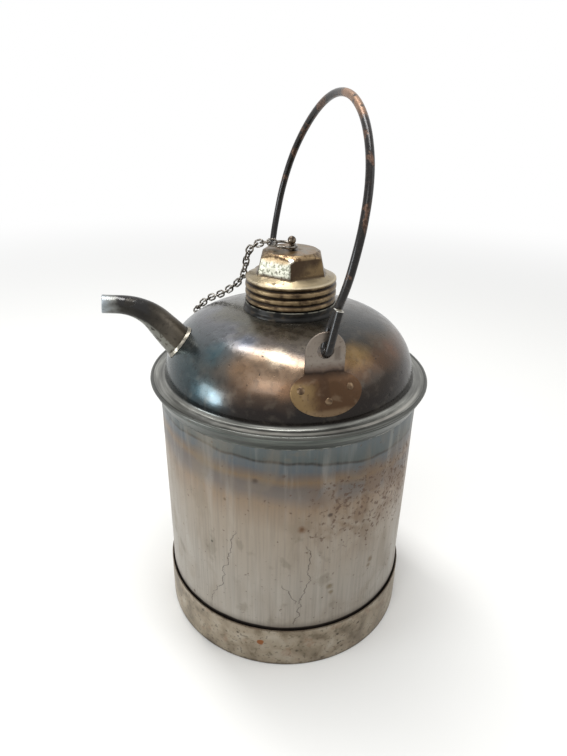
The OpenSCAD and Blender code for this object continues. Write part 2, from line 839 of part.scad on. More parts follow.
// A stretch of bail wire bent in the YZ plane about [y, z], from angle a0 over sweep a
module wire_bend(y, z, r, a0, a) {
    trim = joint_trim / r * 180 / PI;
    translate([0, y, z])
        rotate([90, 0, 90])
        rotate([0, 0, a0 + trim])
        rotate_extrude(angle = a - 2 * trim)
        translate([r, 0])
        circle(r = bail_r, $fn = 32);
}

// A straight stretch of bail wire from p to q in the YZ plane
module wire_run(p, q) {
    translate([0, p[0], p[1]])
        rotate([atan2(-(q[0] - p[0]), q[1] - p[1]), 0, 0])
        translate([0, 0, joint_trim])
        cylinder(r = bail_r, h = norm(q - p) - 2 * joint_trim, $fn = 32);
}

// Round joint that closes the small gap between two stretches
module wire_joint(p) {
    translate([0, p[0], p[1]])
        sphere(r = bail_r + joint_swell, $fn = 32);
}

// One leg of the bail on the +Y side: hook, turn through the ear, leg, flare
module bail_leg() {
    turn_z = bail_turn_r;
    hook_foot = [ear_y + bail_turn_r, turn_z];
    leg_foot = [leg_y, turn_z];
    leg_top = [leg_y, turn_z + leg_len];
    flare_foot = leg_top + bend_r * [1 - cos(leg_flare), sin(leg_flare)];
    flare_top = [bail_half_w * cos(leg_flare), hoop_z - bail_half_w * sin(leg_flare)];
    wire_run(hook_foot, hook_foot + [0, bail_hook_len]);
    wire_bend(ear_y, turn_z, bail_turn_r, 180, 180);
    wire_run(leg_foot, leg_top);
    wire_bend(leg_y + bend_r, turn_z + leg_len, bend_r, 180 - leg_flare, leg_flare);
    wire_run(flare_foot, flare_top);
    for (p = [hook_foot, leg_foot, leg_top, flare_foot, flare_top])
        wire_joint(p);
}

// Wire bail, leaning as it stands
module bail() {
    color([0.10, 0.09, 0.09])
        translate([0, 0, pivot_z])
        rotate([0, bail_lean, 0]) {
            wire_bend(0, hoop_z, bail_half_w, -leg_flare, 180 + 2 * leg_flare);
            bail_leg();
            mirror([0, 1, 0])
                bail_leg();
        }
}

body_shell();
bottom_disc();
base_band();
shoulder_band();
dome_top();
neck_collar();
filler_cap();
cap_gasket();
cap_stud();
chain_ring();
chain_upper();
for (i = [1:free_links])
    placed_link(upper_links + i - 1);
chain_lower();
chain_eye();
spout_tube();
spout_collar();
ear_front();
ear_back();
ear_rivets();
bail();
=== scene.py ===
"""Round steel fuel can with a curved spout, a chained screw cap and a wire bail."""

import logging
import math
from collections.abc import Callable, Sequence
from dataclasses import dataclass
from enum import Enum

import bmesh
import bpy
import numpy as np
from mathutils import Euler, Matrix, Vector, noise


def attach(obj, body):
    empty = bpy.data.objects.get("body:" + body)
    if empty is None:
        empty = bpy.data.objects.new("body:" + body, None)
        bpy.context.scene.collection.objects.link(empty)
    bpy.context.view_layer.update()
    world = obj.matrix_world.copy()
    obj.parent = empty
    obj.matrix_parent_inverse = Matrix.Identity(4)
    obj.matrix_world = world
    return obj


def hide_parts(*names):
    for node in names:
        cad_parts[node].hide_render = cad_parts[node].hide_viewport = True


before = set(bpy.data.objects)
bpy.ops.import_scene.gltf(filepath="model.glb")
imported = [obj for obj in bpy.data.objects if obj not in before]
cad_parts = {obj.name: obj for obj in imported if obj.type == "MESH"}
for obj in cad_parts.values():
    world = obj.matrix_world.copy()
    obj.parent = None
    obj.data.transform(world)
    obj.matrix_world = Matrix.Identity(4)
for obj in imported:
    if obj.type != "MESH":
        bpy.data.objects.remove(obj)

MM = 0.001
LOG = logging.getLogger("fuel_can")
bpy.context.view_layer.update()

Point = tuple[float, float]
Colour = tuple[int, int, int]
Warp = Callable[[float, float, float], Point]
Socket = bpy.types.NodeSocket


class Body(Enum):
    """The rigid bodies that the pieces ride on."""

    CAN = "can"
    CAP = "cap"
    RING = "ring_and_upper_chain"
    BAIL = "bail"


def smooth(edge0: float, edge1: float, value: float) -> float:
    """Smooth step from 0 at edge0 to 1 at edge1.

    Args:
        edge0: Value where the step starts.
        edge1: Value where the step ends.
        value: Value to test.

    Returns:
        A number from 0 to 1.
    """
    x = min(1.0, max(0.0, (value - edge0) / (edge1 - edge0)))
    return x * x * (3 - 2 * x)


def polar(radius: float, azimuth: float, height: float) -> Vector:
    """Point at a radius, an azimuth in degrees and a height."""
    a = math.radians(azimuth)
    return Vector((radius * math.cos(a), radius * math.sin(a), height))


def unevenness(place: Vector, size: float, seed: float = 0.0) -> float:
    """Smooth noise between about -1 and 1 with bumps of the given size in millimetres."""
    return noise.noise(place / size + Vector((seed, seed * 1.7, seed * 0.6)))


def fillet(corners: Sequence[tuple[float, float, float]], steps: int = 4) -> list[Point]:
    """Rounds the corners of a closed outline.

    Args:
        corners: Points as (radius, height, corner radius), in millimetres.
        steps: Facets of each rounded corner.

    Returns:
        The outline's points.
    """
    points: list[Point] = []
    count = len(corners)
    for i, (x, y, size) in enumerate(corners):
        here = Vector((x, y))
        back = Vector(corners[i - 1][:2]) - here
        ahead = Vector(corners[(i + 1) % count][:2]) - here
        reach = min(size, back.length * 0.45, ahead.length * 0.45)
        if reach < 0.01:
            points.append((x, y))
            continue
        start, end = here + back.normalized() * reach, here + ahead.normalized() * reach
        for k in range(steps + 1):
            t = k / steps
            p = start * (1 - t) ** 2 + here * 2 * t * (1 - t) + end * t * t
            points.append((p.x, p.y))
    return points


def dense(points: Sequence[Point], step: float) -> list[Point]:
    """Splits the long edges of a closed outline.

    Args:
        points: The outline's points, in millimetres.
        step: Longest edge to leave.

    Returns:
        The outline with points added along its long edges.
    """
    result: list[Point] = []
    for i, (x0, y0) in enumerate(points):
        x1, y1 = points[(i + 1) % len(points)]
        pieces = max(1, math.ceil(math.hypot(x1 - x0, y1 - y0) / step))
        result += [(x0 + (x1 - x0) * k / pieces, y0 + (y1 - y0) * k / pieces) for k in range(pieces)]
    return result


def finished(name: str, mesh: bmesh.types.BMesh, sharp: float = 38.0) -> bpy.types.Object:
    """Cleans a mesh, shades it smooth apart from its sharp edges and puts it in the scene.

    Args:
        name: Name of the piece.
        mesh: The mesh, in metres.
        sharp: Edge angle in degrees past which an edge stays crisp.

    Returns:
        The new object.
    """
    bmesh.ops.remove_doubles(mesh, verts=mesh.verts, dist=1e-7)
    bmesh.ops.recalc_face_normals(mesh, faces=mesh.faces)
    data = bpy.data.meshes.new(name)
    mesh.to_mesh(data)
    mesh.free()
    data.shade_smooth()
    data.set_sharp_from_angle(angle=math.radians(sharp))
    piece = bpy.data.objects.new(name, data)
    bpy.context.scene.collection.objects.link(piece)
    return piece


def grid_faces(mesh: bmesh.types.BMesh, rows: list[list[bmesh.types.BMVert]], ring: bool, loop: bool) -> None:
    """Adds the faces between rows of vertices.

    Args:
        mesh: The mesh to add to.
        rows: Rows of vertices, all of one length.
        ring: Whether the last row joins the first.
        loop: Whether each row's last vertex joins its first.
    """
    for i in range(len(rows) - (0 if ring else 1)):
        low, high = rows[i], rows[(i + 1) % len(rows)]
        for k in range(len(low) - (0 if loop else 1)):
            n = (k + 1) % len(low)
            corners = [low[k], low[n], high[n], high[k]]
            if len({v.co.to_tuple(8) for v in corners}) > 2:
                mesh.faces.new(corners)


def add_lathe(mesh: bmesh.types.BMesh, outline: Sequence[Point], segments: int, warp: Warp | None) -> None:
    """Adds a shape turned about the Z axis.

    Args:
        mesh: The mesh to add to.
        outline: Closed outline of (radius, height), in millimetres.
        segments: Facets round the axis.
        warp: Changes (azimuth, radius, height) to a new (radius, height).
    """
    rows = []
    for j in range(segments):
        azimuth = 360 * j / segments - 180
        row = []
        for radius, height in outline:
            r, z = warp(azimuth, radius, height) if warp else (radius, height)
            row.append(mesh.verts.new(polar(r, azimuth, z) * MM))
        rows.append(row)
    grid_faces(mesh, rows, ring=True, loop=True)


def lathe(
    name: str, outline: Sequence[Point], segments: int = 288, warp: Warp | None = None, sharp: float = 38.0
) -> bpy.types.Object:
    """Makes one piece that is turned about the Z axis.

    Args:
        name: Name of the piece.
        outline: Closed outline of (radius, height), in millimetres.
        segments: Facets round the axis.
        warp: Changes (azimuth, radius, height) to a new (radius, height).
        sharp: Edge angle in degrees past which an edge stays crisp.

    Returns:
        The new object.
    """
    mesh = bmesh.new()
    add_lathe(mesh, outline, segments, warp)
    return finished(name, mesh, sharp)


def add_sweep(
    mesh: bmesh.types.BMesh, path: Sequence[Vector], radii: Sequence[float], sides: int, closed: bool
) -> None:
    """Adds a solid tube along a path.

    Args:
        mesh: The mesh to add to.
        path: Points of the path, in millimetres.
        radii: The tube's radius at each point.
        sides: Facets round the tube.
        closed: Whether the path is a loop.
    """
    count = len(path)
    normal = Vector((0.02, 0.01, 1))
    rows = []
    for i, here in enumerate(path):
        ahead = path[(i + 1) % count] if closed or i + 1 < count else here
        behind = path[i - 1] if closed or i > 0 else here
        along = (ahead - behind).normalized()
        normal = normal - along * normal.dot(along)
        normal = (normal if normal.length > 1e-5 else along.orthogonal()).normalized()
        side = along.cross(normal)
        rows.append([
            mesh.verts.new((here + (normal * math.cos(a) + side * math.sin(a)) * radii[i]) * MM)
            for a in (2 * math.pi * k / sides for k in range(sides))
        ])
    grid_faces(mesh, rows, ring=closed, loop=True)
    if not closed:
        mesh.faces.new(rows[0])
        mesh.faces.new(rows[-1])


def settle(piece: bpy.types.Object) -> None:
    """Turns a piece and its modifiers into a plain mesh."""
    bpy.context.view_layer.update()
    shape = piece.evaluated_get(bpy.context.evaluated_depsgraph_get())
    mesh = bpy.data.meshes.new_from_object(shape)
    piece.modifiers.clear()
    piece.data = mesh


def cut(piece: bpy.types.Object, start: Vector, end: Vector, radius: float) -> None:
    """Cuts a round hole through a piece.

    Args:
        piece: The piece.
        start: Start of the hole's axis, in millimetres.
        end: End of the hole's axis.
        radius: The hole's radius.
    """
    mesh = bmesh.new()
    add_sweep(mesh, [start, end], [radius, radius], 72, closed=False)
    tool = finished("cutter", mesh)
    modifier = piece.modifiers.new("cut", "BOOLEAN")
    modifier.operation = "DIFFERENCE"
    modifier.object = tool
    modifier.solver = "EXACT"
    settle(piece)
    bpy.data.objects.remove(tool)
    piece.data.set_sharp_from_angle(angle=math.radians(38))


def dress(piece: bpy.types.Object, material: bpy.types.Material, body: str, slot: str, *nodes: str) -> None:
    """Gives a piece its finish, its body and the nodes that it stands for, and reports it.

    Args:
        piece: The piece.
        material: Its finish.
        body: Name of the body that it rides on.
        slot: Not used.
        nodes: Names of the nodes that it replaces.
    """
    piece.data.materials.clear()
    piece.data.materials.append(material)
    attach(piece, body)
    if nodes:
        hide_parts(*nodes)
    LOG.info("%s: %d faces on %s", piece.name, len(piece.data.polygons), body)


class Tree:
    """A Geometry Nodes tree with named inputs, built node by node."""

    def __init__(self, name: str, sizes: Sequence[str], counts: Sequence[str] = ()) -> None:
        """Starts a tree.

        Args:
            name: Name of the tree.
            sizes: Names of its inputs that are lengths in metres.
            counts: Names of its inputs that are whole numbers.
        """
        self.tree = bpy.data.node_groups.new(name, "GeometryNodeTree")
        faces = self.tree.interface
        faces.new_socket(name="Geometry", in_out="INPUT", socket_type="NodeSocketGeometry")
        for label in sizes:
            faces.new_socket(name=label, in_out="INPUT", socket_type="NodeSocketFloat")
        for label in counts:
            faces.new_socket(name=label, in_out="INPUT", socket_type="NodeSocketInt")
        faces.new_socket(name="Material", in_out="INPUT", socket_type="NodeSocketMaterial")
        faces.new_socket(name="Geometry", in_out="OUTPUT", socket_type="NodeSocketGeometry")
        self.start = self.tree.nodes.new("NodeGroupInput")
        self.end = self.tree.nodes.new("NodeGroupOutput")

    def add(self, kind: str, links: dict[str, object], **choices: object) -> Socket:
        """Adds a node.

        Args:
            kind: The node's type.
            links: Input names, each with a socket or a value.
            choices: The node's own settings.

        Returns:
            The node's first output.
        """
        node = self.tree.nodes.new(kind)
        for key, value in choices.items():
            setattr(node, key, value)
        for label, value in links.items():
            socket = next(s for s in node.inputs if s.name == label and s.enabled)
            if isinstance(value, bpy.types.NodeSocket):
                self.tree.links.new(value, socket)
            else:
                socket.default_value = value
        return next(s for s in node.outputs if s.enabled)

    def given(self, name: str) -> Socket:
        """The tree's own input of that name."""
        return self.start.outputs[name]

    def join(self, *parts: Socket) -> Socket:
        """Joins several geometries into one."""
        node = self.tree.nodes.new("GeometryNodeJoinGeometry")
        for part in parts:
            self.tree.links.new(part, node.inputs[0])
        return node.outputs[0]

    def close(self, geometry: Socket) -> None:
        """Ends the tree with real geometry, smooth faces and the chosen material."""
        real = self.add("GeometryNodeRealizeInstances", {"Geometry": geometry})
        soft = self.add("GeometryNodeSetShadeSmooth", {"Geometry": real})
        done = self.add("GeometryNodeSetMaterial", {"Geometry": soft, "Material": self.given("Material")})
        self.tree.links.new(done, self.end.inputs["Geometry"])

    def grow(self, piece: bpy.types.Object, **values: object) -> bpy.types.Object:
        """Runs the tree on a piece and leaves a plain mesh.

        Args:
            piece: The object that holds the tree's points or path.
            values: Input values by name, with _ for a space.

        Returns:
            The same object, now a plain mesh.
        """
        modifier = piece.modifiers.new("shape", "NODES")
        modifier.node_group = self.tree
        for item in self.tree.interface.items_tree:
            key = item.name.replace(" ", "_")
            if item.item_type == "SOCKET" and item.in_out == "INPUT" and key in values:
                modifier[item.identifier] = values[key]
        settle(piece)
        return piece


def points_piece(name: str, spots: Sequence[Vector], turns: Sequence[Matrix]) -> bpy.types.Object:
    """Makes an object of loose points that carry their turns.

    Args:
        name: Name of the piece.
        spots: The points, in millimetres.
        turns: The rotation of each point.

    Returns:
        The new object, for a tree to grow on.
    """
    data = bpy.data.meshes.new(name)
    data.from_pydata([spot * MM for spot in spots], [], [])
    turn = data.attributes.new("turn", "FLOAT_VECTOR", "POINT")
    for i, matrix in enumerate(turns):
        turn.data[i].vector = matrix.to_euler()
    piece = bpy.data.objects.new(name, data)
    bpy.context.scene.collection.objects.link(piece)
    return piece


def path_piece(name: str, path: Sequence[Vector]) -> bpy.types.Object:
    """Makes an object of one open path, in millimetres, for a tree to grow on."""
    data = bpy.data.meshes.new(name)
    data.from_pydata([p * MM for p in path], [(i, i + 1) for i in range(len(path) - 1)], [])
    piece = bpy.data.objects.new(name, data)
    bpy.context.scene.collection.objects.link(piece)
    return piece


def wire_tree() -> Tree:
    """Tree that draws round wire with flat ends along a path.

    Returns:
        The tree, with inputs Wire radius, Sides and Material.
    """
    tree = Tree("wire_along_path", ["Wire radius"], ["Sides"])
    path = tree.add("GeometryNodeMeshToCurve", {"Mesh": tree.given("Geometry")})
    section = tree.add("GeometryNodeCurvePrimitiveCircle", {
        "Resolution": tree.given("Sides"), "Radius": tree.given("Wire radius"),
    })
    tree.close(tree.add("GeometryNodeCurveToMesh", {
        "Curve": path, "Profile Curve": section, "Fill Caps": True,
    }))
    return tree


def placed_on_points(tree: Tree, shape: Socket) -> Socket:
    """Sets a shape on each point, turned by the point's own angles."""
    angles = tree.add("GeometryNodeInputNamedAttribute", {"Name": "turn"}, data_type="FLOAT_VECTOR")
    turned = tree.add("FunctionNodeEulerToRotation", {"Euler": angles})
    return tree.add("GeometryNodeInstanceOnPoints", {
        "Points": tree.given("Geometry"), "Instance": shape, "Rotation": turned,
    })


def link_tree() -> Tree:
    """Tree that sets an oval chain link on each point.

    Returns:
        The tree, with inputs Wire radius, Length, Width, Bow radius and Material.
    """
    tree = Tree("links_on_points", ["Wire radius", "Length", "Width", "Bow radius"])
    outline = tree.add("GeometryNodeCurvePrimitiveQuadrilateral", {
        "Width": tree.given("Length"), "Height": tree.given("Width"),
    })
    oval = tree.add("GeometryNodeFilletCurve", {
        "Curve": outline, "Count": 9, "Radius": tree.given("Bow radius"), "Limit Radius": True,
    }, mode="POLY")
    section = tree.add("GeometryNodeCurvePrimitiveCircle", {
        "Resolution": 12, "Radius": tree.given("Wire radius"),
    })
    link = tree.add("GeometryNodeCurveToMesh", {"Curve": oval, "Profile Curve": section})
    tree.close(placed_on_points(tree, link))
    return tree


def rivet_tree() -> Tree:
    """Tree that sets a round-headed rivet with a flat tail on each point.

    Returns:
        The tree, with inputs Head radius, Head height, Shank radius, Grip, Tail height and Material.
    """
    tree = Tree("rivets_on_points", ["Head radius", "Head height", "Shank radius", "Grip", "Tail height"])
    ball = tree.add("GeometryNodeMeshUVSphere", {"Segments": 28, "Rings": 14, "Radius": 1.0})
    head_size = tree.add("ShaderNodeCombineXYZ", {
        "X": tree.given("Head radius"), "Y": tree.given("Head radius"), "Z": tree.given("Head height"),
    })
    head = tree.add("GeometryNodeTransform", {"Geometry": ball, "Scale": head_size})
    shank = tree.add("GeometryNodeMeshCylinder", {
        "Vertices": 28, "Radius": tree.given("Shank radius"), "Depth": tree.given("Grip"),
    })
    tail = tree.add("GeometryNodeMeshCylinder", {
        "Vertices": 28, "Radius": tree.given("Head radius"), "Depth": tree.given("Tail height"),
    })
    moved = []
    for part, share in ((shank, -0.5), (tail, -1.0)):
        drop = tree.add("ShaderNodeMath", {"Value": tree.given("Grip")}, operation="MULTIPLY")
        drop.node.inputs[1].default_value = share
        shift = tree.add("ShaderNodeCombineXYZ", {"Z": drop})
        moved.append(tree.add("GeometryNodeTransform", {"Geometry": part, "Translation": shift}))
    tree.close(placed_on_points(tree, tree.join(head, *moved)))
    return tree


def linear(colour: Colour) -> tuple[float, float, float, float]:
    """The colour as a shader wants it, from screen values of 0 to 255."""
    return (*(c / 255 / 12.92 if c < 11 else ((c / 255 + 0.055) / 1.055) ** 2.4 for c in colour), 1.0)


class Paint:
    """Builds one finish's nodes on object coordinates."""

    def __init__(self, name: str) -> None:
        """Starts a finish.

        Args:
            name: The material's name.
        """
        self.material = bpy.data.materials.new(name)
        self.material.use_nodes = True
        self.nodes = self.material.node_tree.nodes
        self.links = self.material.node_tree.links
        self.nodes.clear()
        self.place = self.nodes.new("ShaderNodeTexCoord").outputs["Object"]
        axes = self.nodes.new("ShaderNodeSeparateXYZ")
        self.links.new(self.place, axes.inputs[0])
        self.x = self.math("MULTIPLY", axes.outputs[0], 1000)
        self.y = self.math("MULTIPLY", axes.outputs[1], 1000)
        self.z = self.math("MULTIPLY", axes.outputs[2], 1000)

    def put(self, node: bpy.types.Node, index: int | str, value: object) -> None:
        """Links or sets one input of a node."""
        if isinstance(value, bpy.types.NodeSocket):
            self.links.new(value, node.inputs[index])
        else:
            node.inputs[index].default_value = value

    def math(self, operation: str, *values: Socket | float) -> Socket:
        """One Math node.

        Args:
            operation: Name of the operation.
            values: Its inputs.

        Returns:
            Its output.
        """
        node = self.nodes.new("ShaderNodeMath")
        node.operation = operation
        for i, value in enumerate(values):
            self.put(node, i, value)
        return node.outputs[0]

    def azimuth(self) -> Socket:
        """Angle round the Z axis in degrees, from -180 to 180."""
        return self.math("MULTIPLY", self.math("ARCTAN2", self.y, self.x), 180 / math.pi)

    def radius(self) -> Socket:
        """Distance from the Z axis in millimetres."""
        return self.math("SQRT", self.math("ADD", self.math("POWER", self.x, 2), self.math("POWER", self.y, 2)))

    def moved(self, stretch: Sequence[float], shift: float) -> Socket:
        """Object coordinates, scaled on each axis and shifted."""
        node = self.nodes.new("ShaderNodeMapping")
        self.put(node, 0, self.place)
        node.inputs["Scale"].default_value = stretch
        node.inputs["Location"].default_value = (shift, shift * 0.7, shift * 1.3)
        return node.outputs[0]

    def noise(
        self, size: float, detail: float = 4, stretch: Sequence[float] = (1, 1, 1), shift: float = 0,
        twist: float = 0,
    ) -> Socket:
        """Soft noise.

        Args:
            size: Size of its bumps in millimetres.
            detail: Number of finer layers.
            stretch: Scale on each axis, less than 1 for streaks along it.
            shift: Moves the pattern.
            twist: How far the pattern is warped.

        Returns:
            A value round 0.5.
        """
        node = self.nodes.new("ShaderNodeTexNoise")
        self.put(node, "Vector", self.moved(stretch, shift))
        node.inputs["Scale"].default_value = 1000 / size
        node.inputs["Detail"].default_value = detail
        node.inputs["Distortion"].default_value = twist
        return node.outputs["Fac"]

    def hoops(self, size: float, length: float = 0.06, shift: float = 0) -> Socket:
        """Noise drawn out round the Z axis.

        Args:
            size: Width of its streaks in millimetres.
            length: Scale round the axis, less for longer streaks.
            shift: Moves the pattern.

        Returns:
            A value round 0.5.
        """
        axes = self.nodes.new("ShaderNodeCombineXYZ")
        across = self.math("ADD", self.math("ADD", self.radius(), self.z), shift)
        drawn_out = [self.math("MULTIPLY", axis, length) for axis in (self.x, self.y)]
        for i, value in enumerate((*drawn_out, across)):
            self.put(axes, i, value)
        node = self.nodes.new("ShaderNodeTexNoise")
        self.put(node, "Vector", axes.outputs[0])
        node.inputs["Scale"].default_value = 1 / size
        node.inputs["Detail"].default_value = 4
        return node.outputs["Fac"]

    def cells(self, size: float, shift: float = 0, stretch: Sequence[float] = (1, 1, 1)) -> Socket:
        """Distance from scattered points, 0 at each point, with cells of that size in millimetres."""
        node = self.nodes.new("ShaderNodeTexVoronoi")
        self.put(node, "Vector", self.moved(stretch, shift))
        node.inputs["Scale"].default_value = 1000 / size
        return node.outputs["Distance"]

    def step(self, value: Socket | float, low: float, high: float) -> Socket:
        """Smooth mask from 0 at low to 1 at high, which may be the lower number."""
        node = self.nodes.new("ShaderNodeMapRange")
        node.interpolation_type = "SMOOTHSTEP"
        flip = low > high
        self.put(node, 0, value)
        node.inputs[1].default_value, node.inputs[2].default_value = (high, low) if flip else (low, high)
        node.inputs[3].default_value, node.inputs[4].default_value = (1, 0) if flip else (0, 1)
        return node.outputs[0]

    def ramp(self, value: Socket, *stops: tuple[float, float | Colour]) -> Socket:
        """Value or colour that runs through stops.

        Args:
            value: The number that is looked up.
            stops: Positions in rising order, each with a number or a colour.

        Returns:
            The looked-up number or colour.
        """
        low, high = stops[0][0], stops[-1][0]
        node = self.nodes.new("ShaderNodeValToRGB")
        self.put(node, 0, self.math("DIVIDE", self.math("SUBTRACT", value, low), high - low))
        marks = node.color_ramp.elements
        for k, (position, shade) in enumerate(stops):
            place = (position - low) / (high - low)
            mark = marks[0] if k == 0 else marks[-1] if k == len(stops) - 1 else marks.new(place)
            mark.position = place
            mark.color = linear(shade) if isinstance(shade, tuple) else (shade, shade, shade, 1)
        return node.outputs[0]

    def mix(self, amount: Socket | float, first: Socket | Colour, second: Socket | Colour) -> Socket:
        """Mixes two colours, all second where the amount is 1."""
        node = self.nodes.new("ShaderNodeMix")
        node.data_type = "RGBA"
        self.put(node, 0, amount)
        for index, colour in ((6, first), (7, second)):
            self.put(node, index, linear(colour) if isinstance(colour, tuple) else colour)
        return node.outputs[2]

    def both(self, *masks: Socket | float) -> Socket:
        """Product of several masks."""
        result = masks[0]
        for mask in masks[1:]:
            result = self.math("MULTIPLY", result, mask)
        return result

    def spot(self, azimuth: float, radius: float, height: float, size: float, soft: float = 0.4) -> Socket:
        """Blurred round mask about a point given by azimuth, radius and height in millimetres."""
        centre = polar(radius, azimuth, height)
        squares = [
            self.math("POWER", self.math("SUBTRACT", axis, c), 2)
            for axis, c in zip((self.x, self.y, self.z), centre)
        ]
        far = self.math("SQRT", self.math("ADD", self.math("ADD", squares[0], squares[1]), squares[2]))
        wavy = self.math("ADD", far, self.math("MULTIPLY", self.noise(size, 3), size * 0.8))
        return self.step(wavy, size * 1.4, size * (1.4 - soft))

    def bump(self, height: Socket, depth: float, under: Socket | None = None) -> Socket:
        """Raises the surface where the height is 1, by depth in millimetres, or sinks it."""
        node = self.nodes.new("ShaderNodeBump")
        node.invert = depth < 0
        node.inputs["Strength"].default_value = 1
        node.inputs["Distance"].default_value = abs(depth) * MM
        self.put(node, "Height", height)
        if under:
            self.put(node, "Normal", under)
        return node.outputs[0]

    def done(
        self, colour: Socket | Colour, metallic: Socket | float, roughness: Socket | float,
        normal: Socket | None = None, coat: float = 0.0, coat_rough: float = 0.12,
        shine: float = 0.5,
    ) -> bpy.types.Material:
        """Ends the finish.

        Args:
            colour: Base colour.
            metallic: Share of bare metal.
            roughness: Roughness.
            normal: Bumped normal.
            coat: Weight of a clear coat.
            coat_rough: Roughness of the coat.
            shine: Strength of the gloss under the coat.

        Returns:
            The material.
        """
        shader = self.nodes.new("ShaderNodeBsdfPrincipled")
        self.put(shader, "Base Color", linear(colour) if isinstance(colour, tuple) else colour)
        self.put(shader, "Metallic", metallic)
        self.put(shader, "Roughness", roughness)
        if normal:
            self.put(shader, "Normal", normal)
        shader.inputs["Coat Weight"].default_value = coat
        shader.inputs["Coat Roughness"].default_value = coat_rough
        shader.inputs["Specular IOR Level"].default_value = shine
        end = self.nodes.new("ShaderNodeOutputMaterial")
        self.links.new(shader.outputs[0], end.inputs[0])
        return self.material


